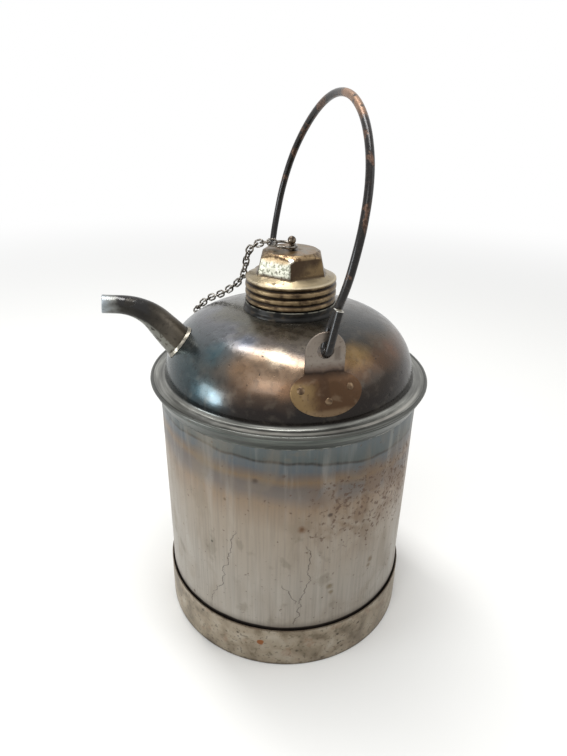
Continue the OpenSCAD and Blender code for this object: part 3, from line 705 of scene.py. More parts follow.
@dataclass(frozen=True)
class BrushedSteel:
    """Tinted wall: grey-beige with vertical brushing, heat bands at the top, rust and hair cracks."""

    plain: Colour = (148, 141, 131)
    cool: Colour = (80, 85, 89)
    green: Colour = (75, 81, 80)
    straw: Colour = (110, 92, 72)
    dark: Colour = (48, 46, 43)
    rust: Colour = (78, 55, 38)
    cracks: tuple[tuple[tuple[float, float], ...], ...] = (
        ((36, -141.4), (55, -135), (73, -130.5), (101, -126.7)),
        ((74, -97.0), (84, -96.2), (95, -96.5)),
        ((32, -102.0), (48, -98.5), (62, -97.5), (76, -94.3)),
        ((49, -100.1), (58, -103.6), (66, -106.3)),
    )
    stains: tuple[tuple[float, float, float, Colour], ...] = (
        (-88, 114, 2.2, (60, 46, 38)), (-118, 137, 2.4, (66, 58, 52)), (-99.2, 105.9, 3.4, (96, 68, 46)),
        (-64.9, 68.6, 3.0, (106, 90, 70)), (-65.6, 64.5, 2.4, (106, 90, 70)), (-85.7, 60.6, 3.2, (112, 100, 80)),
        (-85.2, 55.5, 2.4, (112, 100, 80)), (-138.4, 85.9, 1.3, (58, 54, 46)),
    )

    def crack(self, p: Paint, azimuth: Socket, line: Sequence[tuple[float, float]]) -> Socket:
        """One hair crack that runs down the wall.

        Args:
            p: The finish being built.
            azimuth: Azimuth in degrees.
            line: Points as (height, azimuth), from low to high.

        Returns:
            Its mask.
        """
        level = p.ramp(p.z, *[(z, (a + 180) / 180) for z, a in line])
        middle = p.math("SUBTRACT", p.math("MULTIPLY", level, 180), 180)
        wobble = p.math("MULTIPLY", p.math("SUBTRACT", p.noise(6, 5, (0.3, 0.3, 1), line[0][0]), 0.5), 8)
        off = p.math("ABSOLUTE", p.math("SUBTRACT", p.math("ADD", azimuth, wobble), middle))
        ends = p.both(p.step(p.z, line[0][0], line[0][0] + 3), p.step(p.z, line[-1][0], line[-1][0] - 3))
        return p.both(p.step(off, 0.3, 0.05), ends)

    def material(self) -> bpy.types.Material:
        """Builds the finish."""
        p = Paint("brushed_steel")
        azimuth = p.azimuth()
        drift = p.math("MULTIPLY", p.math("SINE", p.math("RADIANS", p.math("ADD", azimuth, 104))), 5.5)
        sway = p.math("MULTIPLY", p.math("SUBTRACT", p.noise(26, 3), 0.5), 9)
        level = p.math("ADD", p.math("ADD", p.z, drift), sway)
        heat = p.ramp(
            level, (60, self.plain), (104, (142, 131, 117)), (120, (130, 113, 95)), (128, (104, 96, 90)),
            (133.5, (95, 88, 83)), (137.5, self.straw), (141, (92, 84, 78)), (144, self.cool),
            (147.2, (82, 88, 91)), (148.6, self.dark), (150, self.green), (158, (84, 91, 93)),
        )
        streaks = p.noise(1.3, 3, (1, 1, 0.03))
        broad = p.noise(7, 4, (1, 1, 0.12), 3)
        grime = p.noise(22, 6, (1, 1, 0.6), 7, 0.6)
        colour = p.mix(p.math("MULTIPLY", p.step(streaks, 0.42, 0.64), 0.2), heat, (98, 94, 88))
        colour = p.mix(p.math("MULTIPLY", p.step(broad, 0.48, 0.72), 0.24), colour, (170, 166, 158))
        colour = p.mix(p.math("MULTIPLY", p.step(grime, 0.52, 0.70), 0.4), colour, (122, 111, 96))
        right = p.both(
            p.step(azimuth, -108, -78), p.step(azimuth, -30, -44), p.step(p.z, 70, 112), p.step(p.z, 148, 132),
        )
        haze = p.both(right, p.step(p.noise(12, 5, (1, 1, 0.7), 19, 0.5), 0.42, 0.58))
        colour = p.mix(p.math("MULTIPLY", haze, 0.62), colour, (106, 84, 63))
        smudge = p.step(p.noise(15, 4, (1, 1, 1), 27, 0.4), 0.6, 0.7)
        colour = p.mix(p.math("MULTIPLY", smudge, 0.35), colour, (104, 96, 82))
        rusty = p.math("ADD", p.math("MULTIPLY", right, 0.12), p.noise(2.2, 6, (1, 1, 1), 11))
        rust = p.step(rusty, 0.64, 0.75)
        fleck = p.both(p.step(p.cells(9, 5), 0.15, 0.07), p.step(p.noise(38, 2, (1, 1, 1), 4), 0.54, 0.62))
        colour = p.mix(p.math("MULTIPLY", rust, 0.8), colour, self.rust)
        colour = p.mix(p.math("MULTIPLY", fleck, 0.6), colour, (82, 66, 52))
        for stain_azimuth, height, size, shade in self.stains:
            stain = p.spot(stain_azimuth, 78.8, height, size, 0.8)
            colour = p.mix(p.math("MULTIPLY", stain, 0.8), colour, shade)
        lines = self.crack(p, azimuth, self.cracks[0])
        for line in self.cracks[1:]:
            lines = p.math("MAXIMUM", lines, self.crack(p, azimuth, line))
        colour = p.mix(p.math("MULTIPLY", lines, 0.85), colour, (64, 51, 40))
        low = p.step(p.z, 36, 30)
        colour = p.mix(p.math("MULTIPLY", low, 0.5), colour, (84, 76, 68))
        # Painted shadow: a near-black line on the wall just above the foot band, where the gap between them lies in
        # shade.
        painted_gap_shadow = p.step(p.math("ADD", p.z, p.math("MULTIPLY", grime, 2)), 32.6, 31.6)
        colour = p.mix(p.math("MULTIPLY", painted_gap_shadow, 0.92), colour, (28, 20, 16))
        rough = p.ramp(grime, (0.3, 0.34), (0.7, 0.52))
        rough = p.math("ADD", rough, p.math("MULTIPLY", p.math("MAXIMUM", rust, fleck), 0.25))
        metal = p.math("SUBTRACT", 0.72, p.math("MULTIPLY", p.math("MAXIMUM", rust, lines), 0.6))
        normal = p.bump(streaks, 0.035)
        normal = p.bump(p.noise(30, 3, (1, 1, 0.5), 2), 0.35, normal)
        normal = p.bump(p.math("MAXIMUM", rust, lines), -0.12, normal)
        return p.done(colour, metal, rough, normal)


@dataclass(frozen=True)
class BandSteel:
    """Foot band: mottled beige steel with dark spots, tan and rusty patches, darker towards its bottom and with a
    painted shadow line along its top edge.
    """

    plain: Colour = (140, 128, 110)
    spots: Colour = (74, 68, 54)
    rust: Colour = (128, 78, 42)

    def material(self) -> bpy.types.Material:
        """Builds the finish."""
        p = Paint("band_steel")
        mottle = p.noise(12, 6, (1, 1, 1), 2, 0.4)
        fine = p.noise(2.2, 5, (1, 1, 1), 8)
        colour = p.ramp(mottle, (0.3, (104, 92, 75)), (0.5, self.plain), (0.7, (160, 151, 136)))
        colour = p.mix(p.math("MULTIPLY", p.step(fine, 0.54, 0.68), 0.55), colour, self.spots)
        speck = p.both(p.step(p.cells(6, 1), 0.22, 0.1), p.step(p.noise(20, 2), 0.45, 0.6))
        colour = p.mix(p.math("MULTIPLY", speck, 0.8), colour, (62, 52, 42))
        rust = p.step(p.noise(9, 6, (1, 1, 1), 21), 0.59, 0.7)
        colour = p.mix(p.math("MULTIPLY", rust, 0.5), colour, (112, 82, 54))
        colour = p.mix(p.spot(-115.7, 80.5, 18.4, 2.6), colour, self.rust)
        # Darker towards the bottom edge.
        edge = p.step(p.math("ADD", p.z, p.math("MULTIPLY", mottle, 5)), 5.2, 2.4)
        colour = p.mix(p.math("MULTIPLY", edge, 0.8), colour, (66, 56, 44))
        # Painted shadow: a dark line along the band's top edge, where the gap to the wall lies in shade.
        top = p.step(p.math("ADD", p.z, fine), 28.7, 29.7)
        colour = p.mix(p.math("MULTIPLY", top, 0.75), colour, (66, 54, 42))
        rough = p.ramp(mottle, (0.3, 0.38), (0.7, 0.56))
        normal = p.bump(fine, 0.09)
        normal = p.bump(p.noise(26, 2, (1, 1, 0.6), 5), 0.4, normal)
        return p.done(colour, p.math("SUBTRACT", 0.68, p.math("MULTIPLY", rust, 0.5)), rough, normal)


@dataclass(frozen=True)
class RimSteel:
    """Skirt and inner metal: dark grey-green steel, streaked round the can, with a painted highlight broken along
    its lower edge.
    """

    plain: Colour = (80, 84, 80)
    edge: Colour = (196, 194, 184)
    edge_z: float = 158.1

    def material(self) -> bpy.types.Material:
        """Builds the finish."""
        p = Paint("rim_steel")
        streak = p.hoops(2.6)
        colour = p.ramp(streak, (0.3, (56, 58, 54)), (0.5, self.plain), (0.7, (112, 116, 110)))
        # Painted highlight: a pale broken line along the skirt's lower edge, stronger towards the right.
        broken = p.both(p.step(p.noise(5, 2, (1, 1, 0.2), 9), 0.46, 0.56), p.ramp(p.x, (-50, 0.25), (25, 1.0)))
        lit = p.both(p.step(p.z, self.edge_z + 0.8, self.edge_z + 0.4), broken)
        colour = p.mix(p.math("MULTIPLY", lit, 0.9), colour, self.edge)
        rust = p.step(p.noise(8, 6, (1, 1, 1), 14), 0.64, 0.72)
        colour = p.mix(p.math("MULTIPLY", rust, 0.45), colour, (84, 66, 48))
        return p.done(colour, 0.8, p.ramp(streak, (0.3, 0.28), (0.7, 0.42)), p.bump(streak, 0.05))


@dataclass(frozen=True)
class HeatTintedSteel:
    """Dome: dark polished steel tinted by heat, teal and blue to brown and gold, with a grey flange."""

    pits: Colour = (30, 26, 23)
    flange: Colour = (112, 112, 107)
    roll: Colour = (66, 67, 63)
    patches: tuple[tuple[float, float, float, float, Colour], ...] = (
        (-69, 59, 197.8, 13, (134, 108, 68)), (-79, 61.5, 196, 5, (146, 116, 82)),
        (-39.6, 43.9, 203.5, 9, (34, 37, 38)), (-44, 64, 194, 9, (92, 62, 40)),
        (-65, 71, 185, 9, (44, 37, 31)), (-101, 74.4, 175.8, 12, (24, 22, 21)),
        (-145, 61, 196, 11, (48, 76, 84)), (-148, 74, 177, 9, (30, 50, 56)),
        # The pale patch at azimuth -112 is a painted highlight under the overhead lamp's reflection, and the pale
        # blue one at -137 a painted highlight under the left lamp's; the other patches are heat tints.
        (-112, 57, 199.2, 9, (150, 140, 124)), (-134, 49, 202.4, 9, (84, 90, 102)), (-137, 73.6, 177, 6, (92, 106, 112)),
        (-128, 64, 193.5, 9, (124, 98, 74)), (-107, 70, 187.5, 8, (122, 92, 68)),
    )

    def tints(self, p: Paint) -> Socket:
        """Heat colours of the dome's face, by azimuth and height.

        Args:
            p: The finish being built.

        Returns:
            The colour.
        """
        azimuth = p.math("ADD", p.azimuth(), p.math("MULTIPLY", p.math("SUBTRACT", p.noise(34, 3), 0.5), 44))
        wave = p.math("MULTIPLY", p.math("SUBTRACT", p.noise(18, 4, (1, 1, 1), 6), 0.5), 9)
        level = p.math("ADD", p.z, wave)
        left = p.ramp(
            level, (168, (28, 31, 31)), (175, (36, 46, 49)), (183, (48, 60, 63)), (191, (60, 72, 74)),
            (197, (78, 84, 86)), (202, (90, 91, 95)), (205, (88, 86, 77)), (208, (84, 80, 69)),
        )
        front = p.ramp(
            level, (168, (26, 22, 20)), (176, (34, 28, 25)), (182, (66, 53, 43)), (187, (92, 73, 57)),
            (192, (112, 92, 74)), (198, (112, 94, 77)), (202, (84, 77, 72)), (205, (86, 79, 68)),
            (208, (76, 70, 59)),
        )
        right = p.ramp(
            level, (168, (26, 21, 18)), (177, (30, 24, 20)), (185, (38, 30, 23)), (191, (66, 48, 33)),
            (196, (76, 55, 38)), (199, (66, 54, 40)), (202, (42, 41, 38)), (204.5, (40, 41, 40)),
            (207, (58, 54, 46)),
        )
        back = p.ramp(
            level, (168, (30, 27, 25)), (180, (48, 42, 35)), (190, (54, 53, 49)), (197, (50, 55, 59)),
            (203, (62, 57, 49)), (207, (58, 56, 49)),
        )
        colour = p.mix(p.step(azimuth, -146, -122), left, front)
        colour = p.mix(p.step(azimuth, -92, -72), colour, right)
        colour = p.mix(p.step(azimuth, -24, 6), colour, back)
        return p.mix(p.step(azimuth, 120, 160), colour, left)

    def material(self) -> bpy.types.Material:
        """Builds the finish."""
        p = Paint("heat_tinted_steel")
        colour = self.tints(p)
        for azimuth, radius, height, size, shade in self.patches:
            near = p.spot(azimuth, radius, height, size, 1.0)
            colour = p.mix(p.math("MULTIPLY", near, 0.75), colour, shade)
        mottle = p.noise(3.4, 6, (1, 1, 1), 4, 0.5)
        colour = p.mix(p.math("MULTIPLY", p.step(mottle, 0.5, 0.72), 0.34), colour, (36, 31, 28))
        cloud = p.noise(5, 5, (1, 1, 1), 17)
        colour = p.mix(p.math("MULTIPLY", p.step(cloud, 0.52, 0.7), 0.07), colour, (150, 141, 126))
        round_pits = p.both(p.step(p.cells(9, 2), 0.13, 0.06), p.step(p.noise(24, 2, (1, 1, 1), 9), 0.5, 0.6))
        pits = p.math("MAXIMUM", round_pits, p.step(p.noise(2.4, 2, (1, 1, 1), 26), 0.7, 0.75))
        colour = p.mix(p.math("MULTIPLY", pits, 0.85), colour, self.pits)
        streak = p.hoops(1.6)
        flat = p.ramp(streak, (0.3, (82, 82, 78)), (0.52, self.flange), (0.72, (146, 146, 140)))
        # Painted highlight: a near-white band on the front of the flange, between radius 78.4 and 81.4 mm.
        front = p.both(p.step(p.azimuth(), -150, -112), p.step(p.azimuth(), -30, -66))
        bright = p.both(front, p.step(p.radius(), 78.4, 79.4), p.step(p.radius(), 81.4, 80.6))
        flat = p.mix(p.math("MULTIPLY", bright, 0.7), flat, (206, 203, 194))
        on_flange = p.both(p.step(p.z, 170.2, 168.9), p.step(p.radius(), 74.9, 75.9))
        colour = p.mix(on_flange, colour, flat)
        roll = p.step(p.radius(), 82.0, 82.5)
        colour = p.mix(p.math("MULTIPLY", roll, 0.85), colour, self.roll)
        rough = p.math("ADD", p.ramp(cloud, (0.3, 0.2), (0.7, 0.34)), p.math("MULTIPLY", on_flange, 0.1))
        rough = p.math("ADD", rough, p.math("MULTIPLY", pits, 0.3))
        normal = p.bump(p.noise(38, 2, (1, 1, 1), 3), 0.5)
        normal = p.bump(mottle, 0.03, normal)
        normal = p.bump(pits, -0.12, normal)
        return p.done(colour, 0.88, rough, normal, coat=0.2, coat_rough=0.12)


@dataclass(frozen=True)
class NeckMetal:
    """Neck: near-black soldered metal with a painted highlight on its collar's upper edge."""

    plain: Colour = (28, 27, 25)
    edge: Colour = (104, 102, 92)

    def material(self) -> bpy.types.Material:
        """Builds the finish."""
        p = Paint("neck_metal")
        grime = p.noise(4, 5, (1, 1, 1), 5)
        colour = p.ramp(grime, (0.3, (18, 17, 16)), (0.55, self.plain), (0.75, (62, 53, 42)))
        # Painted highlight: a pale, broken line along the collar's upper outer edge.
        high = p.both(p.step(p.z, 211.2, 211.8), p.step(p.radius(), 25.8, 26.5))
        colour = p.mix(p.both(high, p.step(grime, 0.4, 0.55)), colour, self.edge)
        return p.done(colour, 0.75, p.ramp(grime, (0.3, 0.26), (0.7, 0.5)), p.bump(grime, 0.1))


@dataclass(frozen=True)
class CapMetal:
    """Screw cap: worn grey-brown nickel, with painted highlights on its rings and painted shade in its grooves."""

    plain: Colour = (90, 74, 54)
    bright: Colour = (134, 115, 86)
    groove: Colour = (32, 24, 18)
    cream: Colour = (158, 144, 116)
    silver: Colour = (136, 134, 122)
    cap_r: float = 26.4
    corner_azimuth: float = -106.5

    def hexagon(self, p: Paint, colour: Socket, wear: Socket, fine: Socket) -> Socket:
        """Colours the hexagon's front faces, its turned-off corners and its top.

        Args:
            p: The finish being built.
            colour: Colour so far.
            wear: Broad noise.
            fine: Fine noise.

        Returns:
            The colour with the hexagon's own tones.
        """
        azimuth, radius, corner = p.azimuth(), p.radius(), self.corner_azimuth
        foot = p.both(p.step(p.z, 227.9, 228.7), p.step(p.z, 230.6, 229.2))
        wall = p.both(p.step(p.z, 228.6, 229.6), p.step(p.z, 239.2, 238.2), p.step(radius, 15.5, 15.8))
        # The left front face's silver is a painted reflection over its real pits, and the right front face's dark
        # brown to tan is painted shade.
        left = p.both(wall, p.step(azimuth, corner - 61, corner - 58), p.step(azimuth, corner + 0.6, corner - 0.8))
        pits_and_painted_sheen = p.mix(p.step(fine, 0.49, 0.6), self.silver, (86, 87, 76))
        upper = p.step(p.math("ADD", p.z, p.math("MULTIPLY", wear, 5)), 238, 240.5)
        pits_and_painted_sheen = p.mix(p.math("MULTIPLY", upper, 0.8), pits_and_painted_sheen, (128, 106, 76))
        colour = p.mix(p.math("MULTIPLY", left, 0.88), colour, pits_and_painted_sheen)
        right = p.both(wall, p.step(azimuth, corner - 0.8, corner + 0.6), p.step(azimuth, corner + 61, corner + 58))
        slant = p.math("SUBTRACT", p.math("MULTIPLY", azimuth, 0.033), p.math("MULTIPLY", p.z, 0.2))
        slant = p.math("ADD", slant, p.math("MULTIPLY", wear, 1.6))
        brown = p.mix(p.step(slant, -48.8, -47.6), (56, 43, 31), (104, 86, 60))
        colour = p.mix(p.math("MULTIPLY", right, 0.85), colour, brown)
        colour = p.mix(p.math("MULTIPLY", foot, 0.7), colour, (52, 40, 29))
        cone = p.both(p.step(p.z, 238.0, 238.9), p.step(radius, 14.9, 15.2))
        grain = p.mix(p.step(p.noise(1.4, 3, (1, 1, 0.12), 5), 0.46, 0.58), (132, 112, 84), (76, 57, 39))
        colour = p.mix(p.math("MULTIPLY", cone, 0.8), colour, grain)
        # Painted highlight: a near-white glint on the near corner at the top of the hexagon.
        colour = p.mix(p.spot(corner, 18.6, 238.9, 2.0, 0.6), colour, (216, 210, 196))
        top = p.both(p.step(p.z, 240.74, 240.79), p.step(radius, 15.1, 14.9))
        tinted = p.mix(p.step(p.noise(6, 3, (1, 1, 1), 8), 0.44, 0.6), (118, 105, 85), (126, 98, 62))
        # Painted shadow: dark brown round the stud's foot on the top face, under the ball.
        tinted = p.mix(p.step(radius, 6.4, 3.0), tinted, (52, 39, 28))
        return p.mix(p.math("MULTIPLY", top, 0.85), colour, tinted)

    def material(self) -> bpy.types.Material:
        """Builds the finish."""
        p = Paint("cap_metal")
        radius = p.radius()
        wear = p.noise(5, 5, (1, 1, 1), 3, 0.4)
        fine = p.noise(1.4, 5, (1, 1, 1), 9)
        colour = p.ramp(wear, (0.28, (66, 53, 39)), (0.5, self.plain), (0.72, (130, 114, 88)))
        skirt = p.step(p.z, 226.4, 225.6)
        # Painted shade in the ring grooves and painted highlights on the ring crests.
        groove = p.both(skirt, p.step(radius, self.cap_r - 0.45, self.cap_r - 1.0))
        crest = p.both(skirt, p.step(radius, self.cap_r - 0.35, self.cap_r - 0.05), p.step(wear, 0.36, 0.52))
        colour = p.mix(groove, colour, self.groove)
        colour = p.mix(p.math("MULTIPLY", crest, 0.6), colour, self.bright)
        flange = p.both(p.step(p.z, 225.0, 225.8), p.step(p.z, 229.0, 228.2))
        colour = p.mix(p.math("MULTIPLY", flange, 0.72), colour, self.cream)
        # Painted highlight along the flange's front edge on the near side.
        rim = p.both(flange, p.step(radius, 24.7, 25.4), p.step(p.y, 4, -8))
        colour = p.mix(p.math("MULTIPLY", rim, 0.6), colour, (186, 174, 148))
        colour = self.hexagon(p, colour, wear, fine)
        grime = p.step(p.noise(3, 6, (1, 1, 1), 31), 0.6, 0.7)
        colour = p.mix(p.math("MULTIPLY", grime, 0.5), colour, (58, 46, 34))
        rough = p.math("ADD", p.ramp(wear, (0.3, 0.26), (0.7, 0.4)), p.math("MULTIPLY", grime, 0.2))
        rough = p.math("ADD", rough, p.math("MULTIPLY", skirt, 0.06))
        normal = p.bump(fine, 0.05)
        normal = p.bump(grime, -0.08, normal)
        return p.done(colour, 0.86, rough, normal)


@dataclass(frozen=True)
class WornMetal:
    """Small fittings: one metal colour with a darker and a lighter tone and fine pits."""

    name: str
    dark: Colour
    plain: Colour
    light: Colour
    size: float = 3.0
    metallic: float = 0.85
    rough: tuple[float, float] = (0.26, 0.44)
    depth: float = 0.06

    def material(self) -> bpy.types.Material:
        """Builds the finish."""
        p = Paint(self.name)
        wear = p.noise(self.size, 5, (1, 1, 1), self.size, 0.3)
        fine = p.noise(self.size * 0.3, 4, (1, 1, 1), 9)
        colour = p.ramp(wear, (0.3, self.dark), (0.5, self.plain), (0.7, self.light))
        colour = p.mix(p.math("MULTIPLY", p.step(fine, 0.58, 0.7), 0.5), colour, self.dark)
        rough = p.ramp(wear, (0.3, self.rough[1]), (0.7, self.rough[0]))
        return p.done(colour, self.metallic, rough, p.bump(fine, self.depth))


@dataclass(frozen=True)
class SpoutMetal:
    """Spout: painted highlight on the tip, dark middle under glossy black residue, painted highlight along the
    lower edge, grey-brown foot.
    """

    tip: Colour = (158, 166, 172)
    middle: Colour = (40, 38, 36)
    foot: Colour = (86, 80, 71)
    residue: Colour = (18, 16, 15)
    axis: tuple[Point, ...] = (
        (-105.9, 216.0), (-96.9, 215.1), (-90, 213.6), (-83, 209.9), (-76.4, 203.7), (-62.6, 186.0),
    )

    def material(self) -> bpy.types.Material:
        """Builds the finish."""
        p = Paint("spout_metal")
        flow = p.noise(6, 5, (0.6, 1, 0.8), 4, 0.6)
        fine = p.noise(2, 4, (1, 1, 1), 12)
        run = p.math("ADD", p.x, p.math("MULTIPLY", p.math("SUBTRACT", flow, 0.5), 14))
        # The pale bluish tip colour is a painted highlight.
        colour = p.ramp(
            run, (-107, self.tip), (-101, (112, 113, 110)), (-96, (52, 50, 46)), (-86, self.middle),
            (-79, (58, 54, 48)), (-71, self.foot), (-60, (80, 73, 62)),
        )
        level = p.ramp(p.x, *[(x, (z - 180) / 40) for x, z in self.axis])
        above = p.math("SUBTRACT", p.z, p.math("ADD", p.math("MULTIPLY", level, 40), 180))
        colour = p.mix(p.math("MULTIPLY", p.step(fine, 0.54, 0.68), 0.4), colour, (34, 31, 28))
        # Painted highlight: pale broken marks along the spout's lower side.
        under = p.both(p.step(above, -3.6, -5.6), p.step(fine, 0.34, 0.5))
        colour = p.mix(p.math("MULTIPLY", under, 0.6), colour, (138, 138, 130))
        left = p.both(
            p.step(above, 0.0, 2.2), p.step(p.x, -99, -96.5), p.step(p.x, -79, -84),
            p.step(p.noise(7, 4, (0.7, 1, 1), 15, 0.6), 0.4, 0.46),
        )
        colour = p.mix(p.math("MULTIPLY", left, 0.92), colour, self.residue)
        rough = p.math("SUBTRACT", p.ramp(flow, (0.3, 0.3), (0.7, 0.42)), p.math("MULTIPLY", left, 0.16))
        normal = p.bump(fine, 0.05)
        normal = p.bump(left, 0.12, normal)
        return p.done(colour, p.math("SUBTRACT", 0.85, p.math("MULTIPLY", left, 0.6)), rough, normal)


@dataclass(frozen=True)
class EarSteel:
    """Ears: pinkish grey tab, painted shade in the fold and amber foot with a painted highlight along its lower
    rim, and a painted shadow of the hook beside the hole.
    """

    tab: Colour = (130, 121, 112)
    fold: Colour = (40, 29, 22)
    foot: Colour = (72, 51, 33)
    tan: Colour = (116, 95, 64)
    fold_z: float = 193.8

    def material(self) -> bpy.types.Material:
        """Builds the finish."""
        p = Paint("ear_steel")
        wear = p.noise(6, 5, (1, 1, 1), 6, 0.4)
        level = p.math("ADD", p.z, p.math("MULTIPLY", p.math("SUBTRACT", wear, 0.5), 3))
        side = p.math("ADD", p.x, p.math("MULTIPLY", p.math("SUBTRACT", wear, 0.5), 12))
        low = p.mix(p.step(side, -3, -13), self.foot, self.tan)
        # Painted highlight along the foot's lower rim.
        low = p.mix(p.math("MULTIPLY", p.step(level, 179, 176.2), 0.6), low, (124, 104, 80))
        # The dark fold colour is painted shade in the bend between foot and tab.
        high = p.ramp(
            level, (191, (84, 62, 44)), (self.fold_z + 0.6, self.fold), (196.5, (98, 84, 75)),
            (200, self.tab), (214, (124, 114, 104)), (217, (86, 74, 65)),
        )
        colour = p.mix(p.step(level, 189.5, 191.5), low, high)
        colour = p.mix(p.math("MULTIPLY", p.step(wear, 0.54, 0.72), 0.2), colour, (146, 128, 106))
        fine = p.noise(1.6, 5, (1, 1, 1), 2)
        colour = p.mix(p.math("MULTIPLY", p.step(fine, 0.55, 0.68), 0.45), colour, (66, 49, 36))
        streak = p.both(
            p.step(p.math("ABSOLUTE", p.math("ADD", p.x, 1.5)), 3.4, 1.6),
            p.step(p.z, 181, 184), p.step(p.z, 193.5, 191.5),
        )
        colour = p.mix(p.math("MULTIPLY", streak, 0.65), colour, (58, 40, 27))
        # Painted shadow of the bail's hook on the tab, right of the hole.
        painted_hook_shadow = p.both(p.step(p.math("ABSOLUTE", p.math("SUBTRACT", p.x, 6.2)), 2.4, 0.8), p.step(
            p.math("ABSOLUTE", p.math("SUBTRACT", p.z, 204)), 5, 2,
        ))
        colour = p.mix(p.math("MULTIPLY", painted_hook_shadow, 0.5), colour, (70, 60, 52))
        return p.done(colour, 0.78, p.ramp(wear, (0.3, 0.3), (0.7, 0.44)), p.bump(fine, 0.06))


@dataclass(frozen=True)
class WornPaint:
    """Bail: brown-black paint, chipped to tan metal, more at its top, with a painted highlight along the top of its
    near side and bright bare metal on its cut ends.
    """

    paint: Colour = (16, 13, 11)
    worn: Colour = (142, 112, 94)
    # Colour of the painted highlight on the top of the hoop.
    top: Colour = (150, 118, 94)
    bare: Colour = (186, 182, 172)
    cut_place: tuple[float, float, float] = (0, 0, 0)
    cut_way: tuple[float, float, float] = (0, 0, 1)

    def material(self) -> bpy.types.Material:
        """Builds the finish."""
        p = Paint("worn_paint")
        chips = p.noise(7, 5, (1, 1, 0.6), 5, 0.5)
        fine = p.noise(1.6, 5, (1, 1, 1), 2)
        high = p.step(p.z, 262, 318)
        bare = p.step(p.math("ADD", chips, p.math("MULTIPLY", high, 0.1)), 0.6, 0.68)
        colour = p.mix(p.step(fine, 0.5, 0.7), self.paint, (36, 30, 26))
        metal = p.mix(p.step(fine, 0.42, 0.6), self.worn, (92, 68, 54))
        colour = p.mix(p.math("MULTIPLY", bare, 0.42), colour, metal)
        # Painted highlight: a pale tan streak along the top of the hoop on its near side.
        painted_top_highlight = p.both(p.step(p.z, 309, 316), p.step(p.y, 2, -8), p.step(chips, 0.38, 0.5))
        colour = p.mix(p.math("MULTIPLY", painted_top_highlight, 0.7), colour, self.top)
        along = [p.math("MULTIPLY", axis, w) for axis, w in zip((p.x, p.y, p.z), self.cut_way)]
        reach = p.math("ADD", p.math("ADD", along[0], along[1]), along[2])
        end = Vector(self.cut_place).dot(Vector(self.cut_way))
        face = p.both(
            p.step(reach, end - 0.25, end - 0.12), p.step(reach, end + 0.4, end + 0.2),
            p.step(p.math("ABSOLUTE", p.y), 65, 65.4),
        )
        colour = p.mix(face, colour, self.bare)
        shown = p.math("MAXIMUM", bare, p.math("MAXIMUM", face, painted_top_highlight))
        rough = p.math("ADD", 0.26, p.math("MULTIPLY", shown, 0.16))
        metallic = p.math("MULTIPLY", shown, 0.75)
        normal = p.bump(bare, -0.06)
        return p.done(colour, metallic, rough, p.bump(fine, 0.04, normal), coat=0.1, coat_rough=0.14, shine=0.25)


@dataclass(frozen=True)
class Cork:
    """Cork washer: brown grain with dark pores."""

    plain: Colour = (150, 112, 72)

    def material(self) -> bpy.types.Material:
        """Builds the finish."""
        p = Paint("cork")
        grain = p.cells(1.2, 3)
        pores = p.noise(0.9, 4, (1, 1, 1), 2)
        colour = p.ramp(grain, (0.1, (112, 78, 46)), (0.6, self.plain))
        colour = p.mix(p.step(pores, 0.6, 0.7), colour, (70, 46, 28))
        return p.done(colour, 0.0, 0.85, p.bump(grain, 0.15))


def refinish(node: str, material: bpy.types.Material) -> None:
    """Gives a node that stays a new material."""
    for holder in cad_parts[node].material_slots:
        holder.material = material
    LOG.info("%s: kept, with %s", node, material.name)


